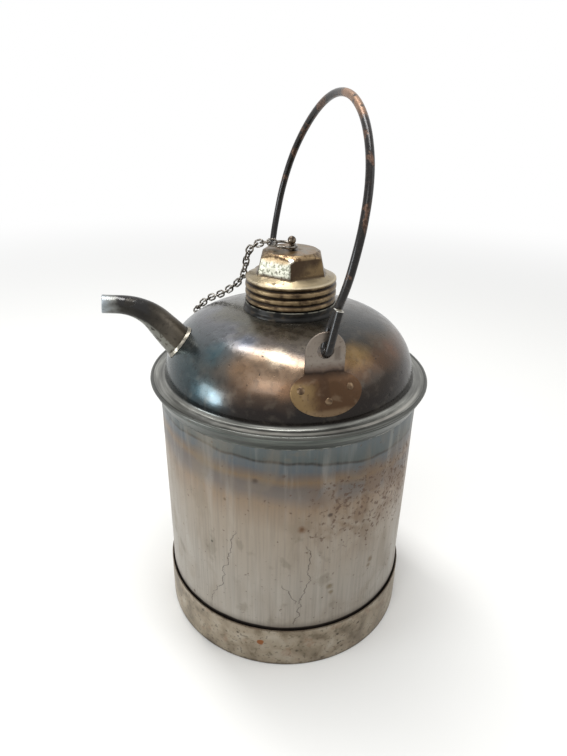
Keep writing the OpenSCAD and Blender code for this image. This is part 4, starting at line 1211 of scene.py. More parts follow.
@dataclass
class CanBody:
    """Wall with its lapped seam, foot band, raised bottom and skirt."""

    wall_r: float = 78.8
    sheet: float = 0.7
    wall_foot: float = 0.83
    wall_top: float = 166.3
    seam_azimuth: float = 75
    seam_w: float = 7
    band_r: float = 79.7
    band_wall: float = 0.8
    band_h: float = 29.5
    curl_r: float = 73.8
    skirt: tuple[Point, ...] = (
        (78.85, 158.1), (79.55, 158.1), (83.21, 165.07), (83.21, 166.05), (81.95, 166.05), (81.95, 167.05),
        (74.5, 167.05), (74.5, 166.35), (81.25, 166.35), (82.09, 165.07), (78.85, 158.45),
    )

    def dent(self, azimuth: float, radius: float, height: float) -> Point:
        """Sinks the wall a little where the sheet isn't true."""
        free = smooth(30, 48, height) * smooth(156, 140, height)
        sink = 0.5 + 0.5 * unevenness(polar(radius, azimuth, height * 0.7), 46, 3)
        return radius - 0.45 * free * sink, height

    def wall(self) -> bpy.types.Object:
        """Makes the rolled wall with the seam's outer lap."""
        outer, inner = self.wall_r, self.wall_r - self.sheet
        outline = dense(fillet([
            (inner, self.wall_foot, 0.2), (outer, self.wall_foot, 0.2),
            (outer, self.wall_top, 0.2), (inner, self.wall_top, 0.2),
        ], 2), 3.5)
        mesh = bmesh.new()
        add_lathe(mesh, outline, 288, self.dent)
        half = math.degrees(self.seam_w / 2 / self.wall_r)
        section = fillet([(-half, 0, 0), (half, 0, 0), (half, 1.05, 0.25), (-half, 1.05, 0.25)], 3)
        rows = []
        for k in range(37):
            height = 31.5 + (157.1 - 31.5) * k / 36
            row = []
            for turn, rise in section:
                base, _ = self.dent(self.seam_azimuth + turn, self.wall_r - 0.35, height)
                row.append(mesh.verts.new(polar(base + rise, self.seam_azimuth + turn, height) * MM))
            rows.append(row)
        grid_faces(mesh, rows, ring=False, loop=True)
        mesh.faces.new(rows[0])
        mesh.faces.new(rows[-1])
        return finished("wall", mesh)

    def wave(self, azimuth: float, radius: float, height: float) -> Point:
        """Lets the foot band's free edge wander."""
        place = polar(80, azimuth, height)
        rise = smooth(10, self.band_h, height) if radius > 79 else 0.0
        sink = 0.5 + 0.5 * unevenness(place, 30, 5)
        return radius - 0.35 * rise * sink, height - 0.25 * rise * (0.5 + 0.5 * unevenness(place, 17, 9))

    def foot_band(self) -> bpy.types.Object:
        """Makes the foot band, curled in under the wall."""
        outer, inner = self.band_r + self.band_wall, self.band_r
        outline = dense(fillet([
            (self.curl_r, 0, 0.3), (outer, 0, 0.75), (outer, self.band_h, 0.3), (inner, self.band_h, 0.3),
            (inner, self.band_wall, 0.1), (self.curl_r, self.band_wall, 0.3),
        ], 4), 3.5)
        return lathe("foot_band", outline, 288, self.wave)

    def skirt_band(self) -> bpy.types.Object:
        """Makes the tapered band under the rim."""
        return lathe("skirt_band", fillet([(r, z, 0.25) for r, z in self.skirt], 2), 288)

    def build(self) -> None:
        """Builds and dresses the sub-assembly."""
        dress(self.wall(), BrushedSteel().material(), Body.CAN.value, "body_steel", "body_shell")
        dress(self.foot_band(), BandSteel().material(), Body.CAN.value, "base_steel", "base_band")
        dress(self.skirt_band(), RimSteel().material(), Body.CAN.value, "skirt_steel", "shoulder_band")
        bottom = WornMetal("bottom_steel", (84, 78, 70), (118, 112, 102), (142, 136, 126), 14, 0.7)
        refinish("bottom_disc", bottom.material())


@dataclass
class Spout:
    """Curved tapered spout and the solder round its foot."""

    foot_x: float = 62.58
    foot_z: float = 185.985
    rise: float = 52
    tip_rise: float = 6
    foot_len: float = 22.5
    bend_r: float = 30
    tip_len: float = 9
    tip_r: float = 5
    base_r: float = 9
    wall: float = 0.9

    @property
    def arc(self) -> float:
        """Length of the bend."""
        return self.bend_r * math.radians(self.rise - self.tip_rise)

    @property
    def length(self) -> float:
        """Whole length along the middle."""
        return self.foot_len + self.arc + self.tip_len

    def foot(self) -> Vector:
        """Middle of the spout's inner end."""
        return Vector((-self.foot_x, 0, self.foot_z))

    def way(self, run: float) -> Vector:
        """Direction of the spout at a running length from its inner end."""
        turned = max(0.0, min(self.arc, run - self.foot_len)) / self.bend_r
        a = math.radians(self.rise) - turned
        return Vector((-math.cos(a), 0, math.sin(a)))

    def middle(self, run: float) -> Vector:
        """Middle of the spout at a running length from its inner end."""
        start = math.radians(self.rise)
        place = self.foot() + self.way(0) * min(run, self.foot_len)
        if run > self.foot_len:
            t = min(self.arc, run - self.foot_len) / self.bend_r
            place += Vector((
                -self.bend_r * (math.sin(start) - math.sin(start - t)), 0,
                self.bend_r * (math.cos(start - t) - math.cos(start)),
            ))
        if run > self.foot_len + self.arc:
            place += self.way(run) * (run - self.foot_len - self.arc)
        return place

    def radius(self, run: float) -> float:
        """Outer radius at a running length from the inner end."""
        from_tip = self.length - run
        return self.tip_r + (self.base_r - self.tip_r) * smooth(4, self.length - 2, from_tip)

    def tube(self) -> bpy.types.Object:
        """Makes the tube with its wall, rounded tip edge and open bore."""
        steps, sides = 72, 64
        runs = [self.length * i / steps for i in range(steps + 1)]
        rings = [(run, self.radius(run)) for run in runs[:-1]]
        rings += [(self.length - 0.35, self.tip_r), (self.length - 0.08, self.tip_r - 0.1)]
        rings += [(self.length, self.tip_r - 0.32), (self.length, self.tip_r - self.wall + 0.25)]
        rings += [(self.length - 0.25, self.tip_r - self.wall + 0.02)]
        rings += [(run, self.radius(run) - self.wall) for run in reversed(runs[:-1])]
        mesh = bmesh.new()
        rows = []
        for run, radius in rings:
            way = self.way(run)
            up, across = Vector((way.z, 0, -way.x)), Vector((0, 1, 0))
            row = []
            for k in range(sides):
                a = 2 * math.pi * k / sides
                ring_dir = up * math.cos(a) + across * math.sin(a)
                rough = 0.10 * smooth(24, 30, run) * smooth(self.length - 1, self.length - 9, run)
                worn = radius - rough * (0.5 + 0.5 * unevenness(self.middle(run) + ring_dir * radius, 6, 1))
                row.append(mesh.verts.new((self.middle(run) + ring_dir * worn) * MM))
            rows.append(row)
        grid_faces(mesh, rows, ring=True, loop=True)
        return finished("spout", mesh)

    def solder(self, dome: "Dome") -> bpy.types.Object:
        """Makes the hand-laid solder where the spout meets the dome."""
        way, across = self.way(0), Vector((0, 1, 0))
        up = Vector((way.z, 0, -way.x))
        mesh = bmesh.new()
        rows = []
        for k in range(120):
            a = 2 * math.pi * k / 120
            ring_dir = up * math.cos(a) + across * math.sin(a)
            edge = self.base_r + 1.35 + 0.32 * unevenness(ring_dir * 10, 3.4, 7)
            row = []
            for t in (0, 0.12, 0.3, 0.5, 0.7, 0.86, 1):
                radius = self.base_r + 0.06 + (edge - self.base_r - 0.06) * t
                row.append((radius, 0.12 + 1.2 * (1 - t) ** 1.3))
            row += [(r, 0.02) for r, _ in reversed(row)]
            ring = []
            for radius, lift in row:
                low, high = -4.0, 26.0
                for _ in range(28):
                    run = (low + high) / 2
                    p = self.foot() + ring_dir * radius + way * run
                    inside = p.z < dome.height(math.hypot(p.x, p.y), lift)
                    low, high = (run, high) if inside else (low, run)
                ring.append(mesh.verts.new(p * MM))
            rows.append(ring)
        grid_faces(mesh, rows, ring=True, loop=True)
        return finished("spout_solder", mesh)

    def build(self, dome: "Dome") -> None:
        """Builds and dresses the sub-assembly."""
        dress(self.tube(), SpoutMetal().material(), Body.CAN.value, "spout_metal", "spout_tube")
        solder = WornMetal("solder", (72, 69, 62), (122, 117, 106), (164, 158, 146), 4, 0.8)
        dress(self.solder(dome), solder.material(), Body.CAN.value, "solder", "spout_collar")


@dataclass
class Dome:
    """Domed top with its flange and rolled rim."""

    knuckle_x: float = 40.2
    knuckle_z: float = 168.5
    knuckle_r: float = 35
    crown_z: float = 18.7
    crown_r: float = 190.1
    tangent: float = 74.98
    foot_r: float = 75.2
    foot_z: float = 167.8
    cove: float = 2.2
    sheet: float = 0.7
    hole_r: float = 23.3
    roll_x: float = 83.1
    roll_z: float = 167.195
    roll_r: float = 1.1

    def skin(self, grown: float, end_r: float, steps: int = 30) -> list[Point]:
        """Outline of the dome from its foot to radius end_r.

        Args:
            grown: Distance outside the outer face.
            end_r: Radius where it ends.
            steps: Facets of the rounded shoulder.

        Returns:
            Points of (radius, height).
        """
        points = [self.shoulder(self.tangent * i / steps, grown) for i in range(steps + 1)]
        r = self.crown_r + grown
        first, last = math.radians(self.tangent), math.acos(end_r / r)
        for i in range(1, 11):
            a = first + (last - first) * i / 10
            points.append((r * math.cos(a), self.crown_z + r * math.sin(a)))
        return points

    def height(self, radius: float, grown: float = 0.0) -> float:
        """Height of the dome's outer face at a radius, grown outwards."""
        if radius <= (self.crown_r + grown) * math.cos(math.radians(self.tangent)):
            return self.crown_z + math.sqrt((self.crown_r + grown) ** 2 - radius**2)
        return self.knuckle_z + math.sqrt(max(0.0, (self.knuckle_r + grown) ** 2 - (radius - self.knuckle_x) ** 2))

    def reach(self, height: float, grown: float = 0.0) -> float:
        """Radius of the dome's outer face at a height on its shoulder, grown outwards."""
        return self.knuckle_x + math.sqrt(max(0.0, (self.knuckle_r + grown) ** 2 - (height - self.knuckle_z) ** 2))

    def shoulder(self, angle: float, above: float) -> Point:
        """Point on the rounded shoulder at an angle, above its face, as (radius, height)."""
        a = math.radians(angle)
        r = self.knuckle_r + above
        return self.knuckle_x + r * math.cos(a), self.knuckle_z + r * math.sin(a)

    def settle_in(self, azimuth: float, radius: float, height: float) -> Point:
        """Lets the dome's face sink and its rim wander a little."""
        place = polar(radius, azimuth, height)
        face = smooth(171, 178, height) * smooth(28, 34, radius)
        sink = 0.2 * face * (0.5 + 0.5 * unevenness(place, 40, 2))
        rim = smooth(80, 83, radius)
        return radius - 0.12 * rim * (0.5 + 0.5 * unevenness(place, 9, 4)) - sink, height - sink

    def top(self, spout: Spout) -> bpy.types.Object:
        """Makes the dome, its flange and its rolled rim, with the neck's and the spout's holes."""
        outline: list[Point] = []
        for i in range(23):
            a = math.radians(-143 + 286 * i / 22)
            outline.append((self.roll_x + self.roll_r * math.cos(a), self.roll_z + self.roll_r * math.sin(a)))
        for i in range(7):
            a = math.radians(90 * i / 6)
            outline.append((
                self.foot_r + self.cove * (1 - math.sin(a)), self.foot_z + self.cove * (1 - math.cos(a)),
            ))
        outline += self.skin(0, self.hole_r)[1:]
        outline += self.skin(-self.sheet, self.hole_r)[:0:-1]
        outline += [(self.foot_r - self.sheet, self.foot_z - self.sheet), (82.1, self.foot_z - self.sheet)]
        piece = lathe("dome", outline, 288, self.settle_in)
        foot, way = spout.foot(), spout.way(0)
        cut(piece, foot - way * 6, foot + way * 16, spout.base_r + 0.01)
        return piece

    def build(self, spout: Spout) -> None:
        """Builds and dresses the dome."""
        dress(self.top(spout), HeatTintedSteel().material(), Body.CAN.value, "dome_steel", "dome_top")


def add_ridge(
    mesh: bmesh.types.BMesh, root: float, crest: float, foot: float, turns: float, pitch: float
) -> None:
    """Adds one helical ridge that fades at both ends.

    Args:
        mesh: The mesh to add to.
        root: Radius where the ridge stands on its wall.
        crest: Radius of its crest.
        foot: Height of its start.
        turns: Number of turns.
        pitch: Rise of each turn.
    """
    steps = int(turns * 96)
    rows = []
    for i in range(steps + 1):
        a = 360 * turns * i / steps
        fade = min(1.0, i / 12, (steps - i) / 12)
        tip = root + (crest - root) * max(0.3, fade)
        z = foot + pitch * a / 360
        rows.append([
            mesh.verts.new(polar(r, a, z + dz) * MM)
            for r, dz in ((root, -0.675), (tip, -0.35), (tip, 0.35), (root, 0.675))
        ])
    grid_faces(mesh, rows, ring=False, loop=True)
    mesh.faces.new(rows[0])
    mesh.faces.new(rows[-1])


@dataclass
class Neck:
    """Soldered neck: collar on the dome, threaded tube above and spigot below."""

    bore_r: float = 20.2
    root_r: float = 22.4
    crest_r: float = 23.5
    spigot_r: float = 23.2
    collar_r: float = 26.7
    collar_foot: float = 206.916
    collar_top: float = 211.916
    top: float = 222.616
    pitch: float = 3.5
    turns: float = 1.5
    thread_foot: float = 214.516

    def build(self, dome: Dome) -> None:
        """Builds and dresses the neck."""
        outline = fillet([
            (self.bore_r, self.collar_foot - 3, 0.2), (self.spigot_r, self.collar_foot - 3, 0.2),
            (self.spigot_r, dome.height(self.spigot_r, 0.03), 0.02),
            (self.collar_r + 0.95, dome.height(self.collar_r + 0.95, 0.03), 0.1),
            (self.collar_r + 0.8, self.collar_foot + 0.9, 0.5), (self.collar_r, self.collar_foot + 2, 0.8),
            (self.collar_r, self.collar_top, 0.6), (self.root_r, self.collar_top, 0.4),
            (self.root_r, self.top, 0.5), (self.bore_r, self.top, 0.4),
        ], 4)
        mesh = bmesh.new()
        add_lathe(mesh, outline, 192, None)
        add_ridge(mesh, self.root_r - 0.3, self.crest_r, self.thread_foot, self.turns, self.pitch)
        dress(finished("neck", mesh, 50), NeckMetal().material(), Body.CAN.value, "neck_metal", "neck_collar")


@dataclass
class ScrewCap:
    """Screw cap with its rings, tapered hexagon, inner thread, washer and ball stud."""

    bore_r: float = 23.85
    skirt_r: float = 26.4
    bottom: float = 212.516
    lip: float = 1.4
    rings: int = 2
    ring_pitch: float = 4.0333
    ring_depth: float = 1.3
    flange_z: float = 226.016
    roof_z: float = 224.216
    hex_foot_r: float = 22.1
    hex_foot: float = 227.7
    hex_top_r: float = 18.9
    hex_top: float = 240.816
    hex_turn: float = 43.5
    face_r: float = 15.05
    face_slope: float = 4.6 / 2.8
    cavity_r: float = 15.468
    crown: float = 4.0
    stud_r: float = 1.4
    ball_r: float = 2.4
    ball_z: float = 246.016

    def outline(self) -> list[Point]:
        """Closed outline of the cap along a corner of its hexagon."""
        r, z = self.skirt_r, self.bottom
        corners = [(self.bore_r, z, 0.4), (r - 0.2, z, 0.6), (r - 0.2, z + self.lip, 0.4)]
        for k in range(1, self.rings + 1):
            middle = z + self.lip / 2 + k * self.ring_pitch
            for out, rise in ((self.ring_depth, -0.47), (0.0, -0.25), (0.0, 0.25), (self.ring_depth, 0.47)):
                corners.append((r - out, middle + rise * self.ring_pitch, 0.55))
        corners += [
            (r - 0.2, self.flange_z - self.lip - 0.2, 0.5), (r - 0.2, self.flange_z - 0.3, 0.5),
            (r - 1.2, self.flange_z, 0.8), (24.0, 226.668, 0), (23.4, 226.994, 0), (22.9, 227.265, 0),
            (self.hex_foot_r, self.hex_foot, 0.7),
        ]
        for k in range(12):
            z = 237.4 + 0.3 * k
            corners.append((self.hex_foot_r - 0.25 * (z - self.hex_foot), z, 0))
        corners += [
            (self.hex_top_r, self.hex_top, 0), (self.hex_top_r - 0.4, self.hex_top, 0),
            (self.stud_r + 0.05, self.hex_top, 0.1),
            (self.stud_r + 0.05, self.hex_top - self.crown, 0.1),
            (self.cavity_r, self.hex_top - self.crown, 0.5), (self.cavity_r, self.roof_z, 0.3),
            (self.bore_r, self.roof_z, 0.2),
        ]
        return dense(fillet(corners, 4), 1.6)

    def side(self, azimuth: float) -> float:
        """Radius of a slightly rounded hexagon whose corners are at radius 1."""
        total = 0.0
        for k in range(6):
            facing = math.cos(math.radians(azimuth - self.hex_turn - 60 * k))
            total += max(0.0, facing / math.cos(math.radians(30))) ** 60
        return total ** (-1 / 60)

    def hexagon(self, azimuth: float, radius: float, height: float) -> Point:
        """Turns the outline's upper part into the hexagon, with its corners turned off at the top."""
        inside = radius < self.cavity_r + 0.1 and height < self.hex_top - 0.1
        if height < 226.6 or radius < self.stud_r + 0.3 or inside:
            return radius, height
        if height > self.hex_top - 0.01:
            return radius * self.face_r / self.hex_top_r, height
        side = self.side(azimuth)
        rise = min(0.5 * self.hex_foot_r * (1 - side), 0.9)
        if height < self.hex_foot + 0.02:
            amount = smooth(23.6, self.hex_foot_r, radius)
            return radius * (1 + (side - 1) * amount), height + rise * amount
        turned_off = self.face_r + (self.hex_top - height) * self.face_slope
        squeezed, soft = radius * side, 0.25
        blend = soft * math.log(1 + math.exp(-abs(squeezed - turned_off) / soft))
        return min(squeezed, turned_off) - blend, height + rise * max(0.0, 1 - (height - self.hex_foot) / 6)

    def shell(self) -> bpy.types.Object:
        """Makes the cap with its inner ridge."""
        mesh = bmesh.new()
        add_lathe(mesh, self.outline(), 360, self.hexagon)
        add_ridge(mesh, self.bore_r + 0.3, 22.75, 214.516 + 1.75, 1.5, 3.5)
        return finished("cap", mesh, 32)

    def stud(self) -> bpy.types.Object:
        """Makes the ball stud with its washer and riveted tail."""
        neck, ball = self.stud_r, []
        for i in range(17):
            a = math.radians(-54 + 144 * i / 16)
            ball.append((self.ball_r * math.cos(a), self.ball_z + self.ball_r * math.sin(a)))
        tail_top = self.hex_top - self.crown - 0.02
        outline = [
            (0, tail_top - 1.2), (neck + 0.9, tail_top - 1.2), (neck + 1.4, tail_top - 0.7),
            (neck + 1.4, tail_top), (neck, tail_top), (neck, self.hex_top + 0.02),
            (neck + 0.85, self.hex_top + 0.02), (neck + 0.9, self.hex_top + 0.2),
            (neck + 0.7, self.hex_top + 0.5), (neck, self.hex_top + 0.52), (neck, self.ball_z - 2.1), *ball,
        ]
        outline[-1] = (0, self.ball_z + self.ball_r)
        return lathe("stud", outline, 64)

    def build(self) -> None:
        """Builds and dresses the sub-assembly."""
        dress(self.shell(), CapMetal().material(), Body.CAP.value, "cap_metal", "filler_cap")
        stud = WornMetal("stud_metal", (38, 31, 26), (84, 73, 61), (146, 135, 120), 2.2, 0.88, (0.18, 0.34))
        dress(self.stud(), stud.material(), Body.CAP.value, "stud_metal", "cap_stud")
        refinish("cap_gasket", Cork().material())


@dataclass
class Chain:
    """Swivel ring, oval links and the staple that holds the last one."""

    wire: float = 1.1
    length: float = 6.0
    width: float = 3.6
    ring_r: float = 6.4
    ring_wire: float = 1.6
    ring_azimuth: float = 152
    ring_offset: float = 3.765
    ring_z: float = 243.235
    ring_tilt: float = 6
    eye_azimuth: float = 134
    eye_angle: float = 34
    arch_r: float = 2.4
    eye_wire: float = 1.3
    ride: float = 3.25

    def link_places(self, node: str) -> list[tuple[Vector, Matrix]]:
        """Finds each link's middle and axes from its node.

        Args:
            node: Name of the node.

        Returns:
            The middle in millimetres and the rotation of each link.
        """
        mesh = bmesh.new()
        mesh.from_mesh(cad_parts[node].data)
        bmesh.ops.remove_doubles(mesh, verts=mesh.verts, dist=2e-6)
        mesh.verts.index_update()
        mesh.faces.index_update()
        seen: set[int] = set()
        places = []
        for first in mesh.verts:
            if first.index in seen:
                continue
            group, queue = [], [first]
            seen.add(first.index)
            while queue:
                vert = queue.pop()
                group.append(vert)
                for edge in vert.link_edges:
                    other = edge.other_vert(vert)
                    if other.index not in seen:
                        seen.add(other.index)
                        queue.append(other)
            faces = sorted({face for vert in group for face in vert.link_faces}, key=lambda face: face.index)
            areas = np.array([face.calc_area() for face in faces])
            middles = np.array([face.calc_center_median()[:] for face in faces])
            centre = (middles * areas[:, None]).sum(0) / areas.sum()
            spread = ((middles - centre) * areas[:, None]).T @ (middles - centre)
            axes = np.linalg.eigh(spread)[1]
            along, across = Vector(axes[:, 2]), Vector(axes[:, 1])
            turn = Matrix((along, across, along.cross(across))).transposed()
            places.append((Vector(centre) / MM, turn))
        mesh.free()
        return places

    def links(self, tree: Tree, material: bpy.types.Material, node: str, body: str) -> None:
        """Makes and dresses the links of one node."""
        places = self.link_places(node)
        piece = points_piece("links_" + node, [p for p, _ in places], [m for _, m in places])
        tree.grow(
            piece, Wire_radius=self.wire / 2 * MM, Length=self.length * MM, Width=self.width * MM,
            Bow_radius=self.width / 2 * MM, Material=material,
        )
        dress(piece, material, body, "chain_steel", node)

    def ring(self) -> bpy.types.Object:
        """Makes the ring that swivels on the stud, with its butt joint."""
        turn = Euler((0, math.radians(-self.ring_tilt), 0)).to_matrix()
        out = Euler((0, 0, math.radians(self.ring_azimuth))).to_matrix()
        path, radii = [], []
        for k in range(96):
            a = 2 * math.pi * k / 96
            local = turn @ Vector((self.ring_r * math.cos(a), self.ring_r * math.sin(a), 0))
            path.append(out @ (local + Vector((self.ring_offset, 0, self.ring_z))))
            radii.append(self.ring_wire / 2 - 0.16 * max(0.0, 1 - abs(k - 22) / 1.2))
        mesh = bmesh.new()
        add_sweep(mesh, path, radii, 20, closed=True)
        return finished("swivel_ring", mesh, 60)

    def staple(self, dome: Dome) -> bpy.types.Object:
        """Makes the staple and its pad of solder on the dome."""
        foot = dome.shoulder(self.eye_angle, 0)
        turn = Euler((0, math.radians(90 - self.eye_angle), 0)).to_matrix()
        out = Euler((0, 0, math.radians(self.eye_azimuth))).to_matrix()
        origin = Vector((foot[0], 0, foot[1]))

        def placed(x: float, y: float, z: float) -> Vector:
            """Takes a point from the staple's own axes to the can's."""
            return out @ (origin + turn @ Vector((x, y, z)))

        rise, r = self.ride - self.arch_r, self.arch_r
        path = [placed(0, -r, 0.25), placed(0, -r, rise * 0.6)]
        for k in range(19):
            a = math.radians(10 * k)
            path.append(placed(0, -r * math.cos(a), rise + r * math.sin(a)))
        path += [placed(0, r, rise * 0.6), placed(0, r, 0.25)]
        mesh = bmesh.new()
        add_sweep(mesh, path, [self.eye_wire / 2] * len(path), 16, closed=False)
        layers = ((0, 0.56), (0.35, 0.54), (0.6, 0.46), (0.8, 0.3), (0.95, 0.12), (1, 0.03), (0.5, 0.02), (0, 0.02))
        rows = []
        for k in range(72):
            a = 2 * math.pi * k / 72
            edge = 4.4 + 0.5 * unevenness(Vector((math.cos(a), math.sin(a), 0)) * 5, 2.2, 5)
            row = []
            for t, lift in layers:
                flat = placed(edge * t * math.cos(a), edge * t * math.sin(a), 0)
                azimuth = math.degrees(math.atan2(flat.y, flat.x))
                out_of_knuckle = math.hypot(flat.x, flat.y) - dome.knuckle_x
                slope = math.degrees(math.atan2(flat.z - dome.knuckle_z, out_of_knuckle))
                radius, height = dome.shoulder(slope, lift)
                row.append(mesh.verts.new(polar(radius, azimuth, height) * MM))
            rows.append(row)
        grid_faces(mesh, rows, ring=True, loop=False)
        return finished("staple", mesh, 50)

    def build(self, dome: Dome) -> None:
        """Builds and dresses the sub-assembly."""
        steel = WornMetal("chain_steel", (40, 36, 32), (102, 96, 88), (172, 167, 160), 2.4, 0.92, (0.16, 0.3))
        material, tree = steel.material(), link_tree()
        dress(self.ring(), material, Body.RING.value, "chain_steel", "chain_ring")
        self.links(tree, material, "chain_upper", Body.RING.value)
        self.links(tree, material, "chain_lower", Body.CAN.value)
        for k in range(1, 10):
            self.links(tree, material, f"chain_link_{k}", f"chain_link_{k}")
        solder = WornMetal("eye_solder", (70, 68, 64), (112, 108, 100), (146, 142, 134), 3, 0.8)
        dress(self.staple(dome), solder.material(), Body.CAN.value, "solder", "chain_eye")


@dataclass
class Ears:
    """Two ears, each an oval foot on the dome and an upright tab, with their rivets."""

    face_y: float = 65
    thick: float = 1.2
    tab_w: float = 21
    foot_w: float = 38
    foot_h: float = 20.8
    foot_z: float = 185.477
    middle_z: float = 192
    hole_z: float = 206.397
    hole_r: float = 4.5
    spots: tuple[Point, ...] = ((-13.3, 186.83), (0, 181.61), (12.16, 186.83))
    rivet_r: float = 1.92
    rivet_head: float = 0.6
    shank_r: float = 1.2

    def covers(self, x: float, z: float) -> bool:
        """Whether a point is on the foot or the tab."""
        half = self.foot_h * (0.46 if z > self.foot_z else 0.54)
        foot = math.hypot(x / (self.foot_w / 2), (z - self.foot_z) / half)
        tab_z = self.hole_z - 0.9
        tab = abs(x) if z < tab_z else math.hypot(x, z - tab_z)
        return foot < 1 or (z > self.foot_z and tab < self.tab_w / 2)

    def edge(self, angle: float) -> float:
        """Distance from the ear's middle to its edge, in a direction in radians."""
        low, high = 1.0, 40.0
        for _ in range(26):
            mid = (low + high) / 2
            inside = self.covers(mid * math.cos(angle), self.middle_z + mid * math.sin(angle))
            low, high = (mid, high) if inside else (low, mid)
        return low

    def depth(self, dome: Dome, x: float, z: float) -> float:
        """Distance of the ear's middle sheet from the XZ plane."""
        r = dome.reach(z, self.thick / 2 + 0.03)
        gap = math.sqrt(max(0.0, r * r - x * x)) - self.face_y
        return self.face_y + 0.5 * (gap + math.sqrt(gap * gap + 0.25))

    def sheet(self, dome: Dome, x: float, z: float, lift: float) -> Vector:
        """Point of the bent sheet, lifted off its middle along its normal."""
        here = self.depth(dome, x, z)
        fall_x = (self.depth(dome, x + 0.05, z) - here) / 0.05
        fall_z = (self.depth(dome, x, z + 0.05) - here) / 0.05
        return Vector((x, -here, z)) + Vector((-fall_x, -1, -fall_z)).normalized() * lift

    def plate(self, dome: Dome, turn: float, name: str) -> bpy.types.Object:
        """Makes one ear.

        Args:
            dome: The dome that it stands on.
            turn: Turn about the Z axis in degrees.
            name: Name of the piece.

        Returns:
            The piece.
        """
        spokes, rings, half = 216, 44, self.thick / 2
        edges = [self.edge(2 * math.pi * k / spokes) for k in range(spokes)]
        edges = [sum(edges[(k + j) % spokes] for j in (-2, -1, 0, 1, 2)) / 5 for k in range(spokes)]
        out = Euler((0, 0, math.radians(turn))).to_matrix()
        flat = [(0.98 * i / rings, half) for i in range(rings + 1)]
        rim = [(0.993, half * 0.86), (1, half * 0.5), (1, -half * 0.5), (0.993, -half * 0.86)]
        layers = flat + rim + [(t, -h) for t, h in reversed(flat)]
        mesh = bmesh.new()
        rows = []
        for k in range(spokes):
            a = 2 * math.pi * k / spokes
            row = []
            for t, lift in layers:
                x, z = edges[k] * t * math.cos(a), self.middle_z + edges[k] * t * math.sin(a)
                swell = 0.0
                if lift > 0:
                    swell = sum(0.2 * math.exp(-((x - b) ** 2 + (z - 187.5) ** 2) / 14) for b in (-7.5, 7.0))
                row.append(mesh.verts.new(out @ self.sheet(dome, x, z, lift + swell) * MM))
            rows.append(row)
        grid_faces(mesh, rows, ring=True, loop=False)
        piece = finished(name, mesh, 45)
        cut(piece, out @ Vector((0, -60, self.hole_z)), out @ Vector((0, -70, self.hole_z)), self.hole_r)
        return piece

    def rivets(self, dome: Dome, tree: Tree, material: bpy.types.Material) -> None:
        """Makes and dresses the six rivets."""
        spots, turns = [], []
        for side in (0, 180):
            for across, z in self.spots:
                slope = math.degrees(math.asin((z - dome.knuckle_z) / dome.knuckle_r))
                radius, height = dome.shoulder(slope, self.thick + 0.06)
                azimuth = side + math.degrees(math.asin(across / dome.shoulder(slope, 0)[0])) - 90
                spots.append(polar(radius, azimuth, height))
                lean = Euler((0, math.radians(90 - slope), 0)).to_matrix()
                turns.append(Euler((0, 0, math.radians(azimuth))).to_matrix() @ lean)
        piece = points_piece("rivets", spots, turns)
        tree.grow(
            piece, Head_radius=self.rivet_r * MM, Head_height=self.rivet_head * MM,
            Shank_radius=self.shank_r * MM, Grip=2.3 * MM, Tail_height=0.6 * MM, Material=material,
        )
        dress(piece, material, Body.CAN.value, "rivet_steel", "ear_rivets")

    def build(self, dome: Dome) -> None:
        """Builds and dresses the sub-assembly."""
        steel = EarSteel().material()
        dress(self.plate(dome, 0, "ear_near"), steel, Body.CAN.value, "ear_steel", "ear_front")
        dress(self.plate(dome, 180, "ear_far"), steel, Body.CAN.value, "ear_steel", "ear_back")
        rivet = WornMetal("rivet_steel", (48, 37, 28), (94, 75, 56), (142, 122, 96), 2.5, 0.8)
        self.rivets(dome, rivet_tree(), rivet.material())


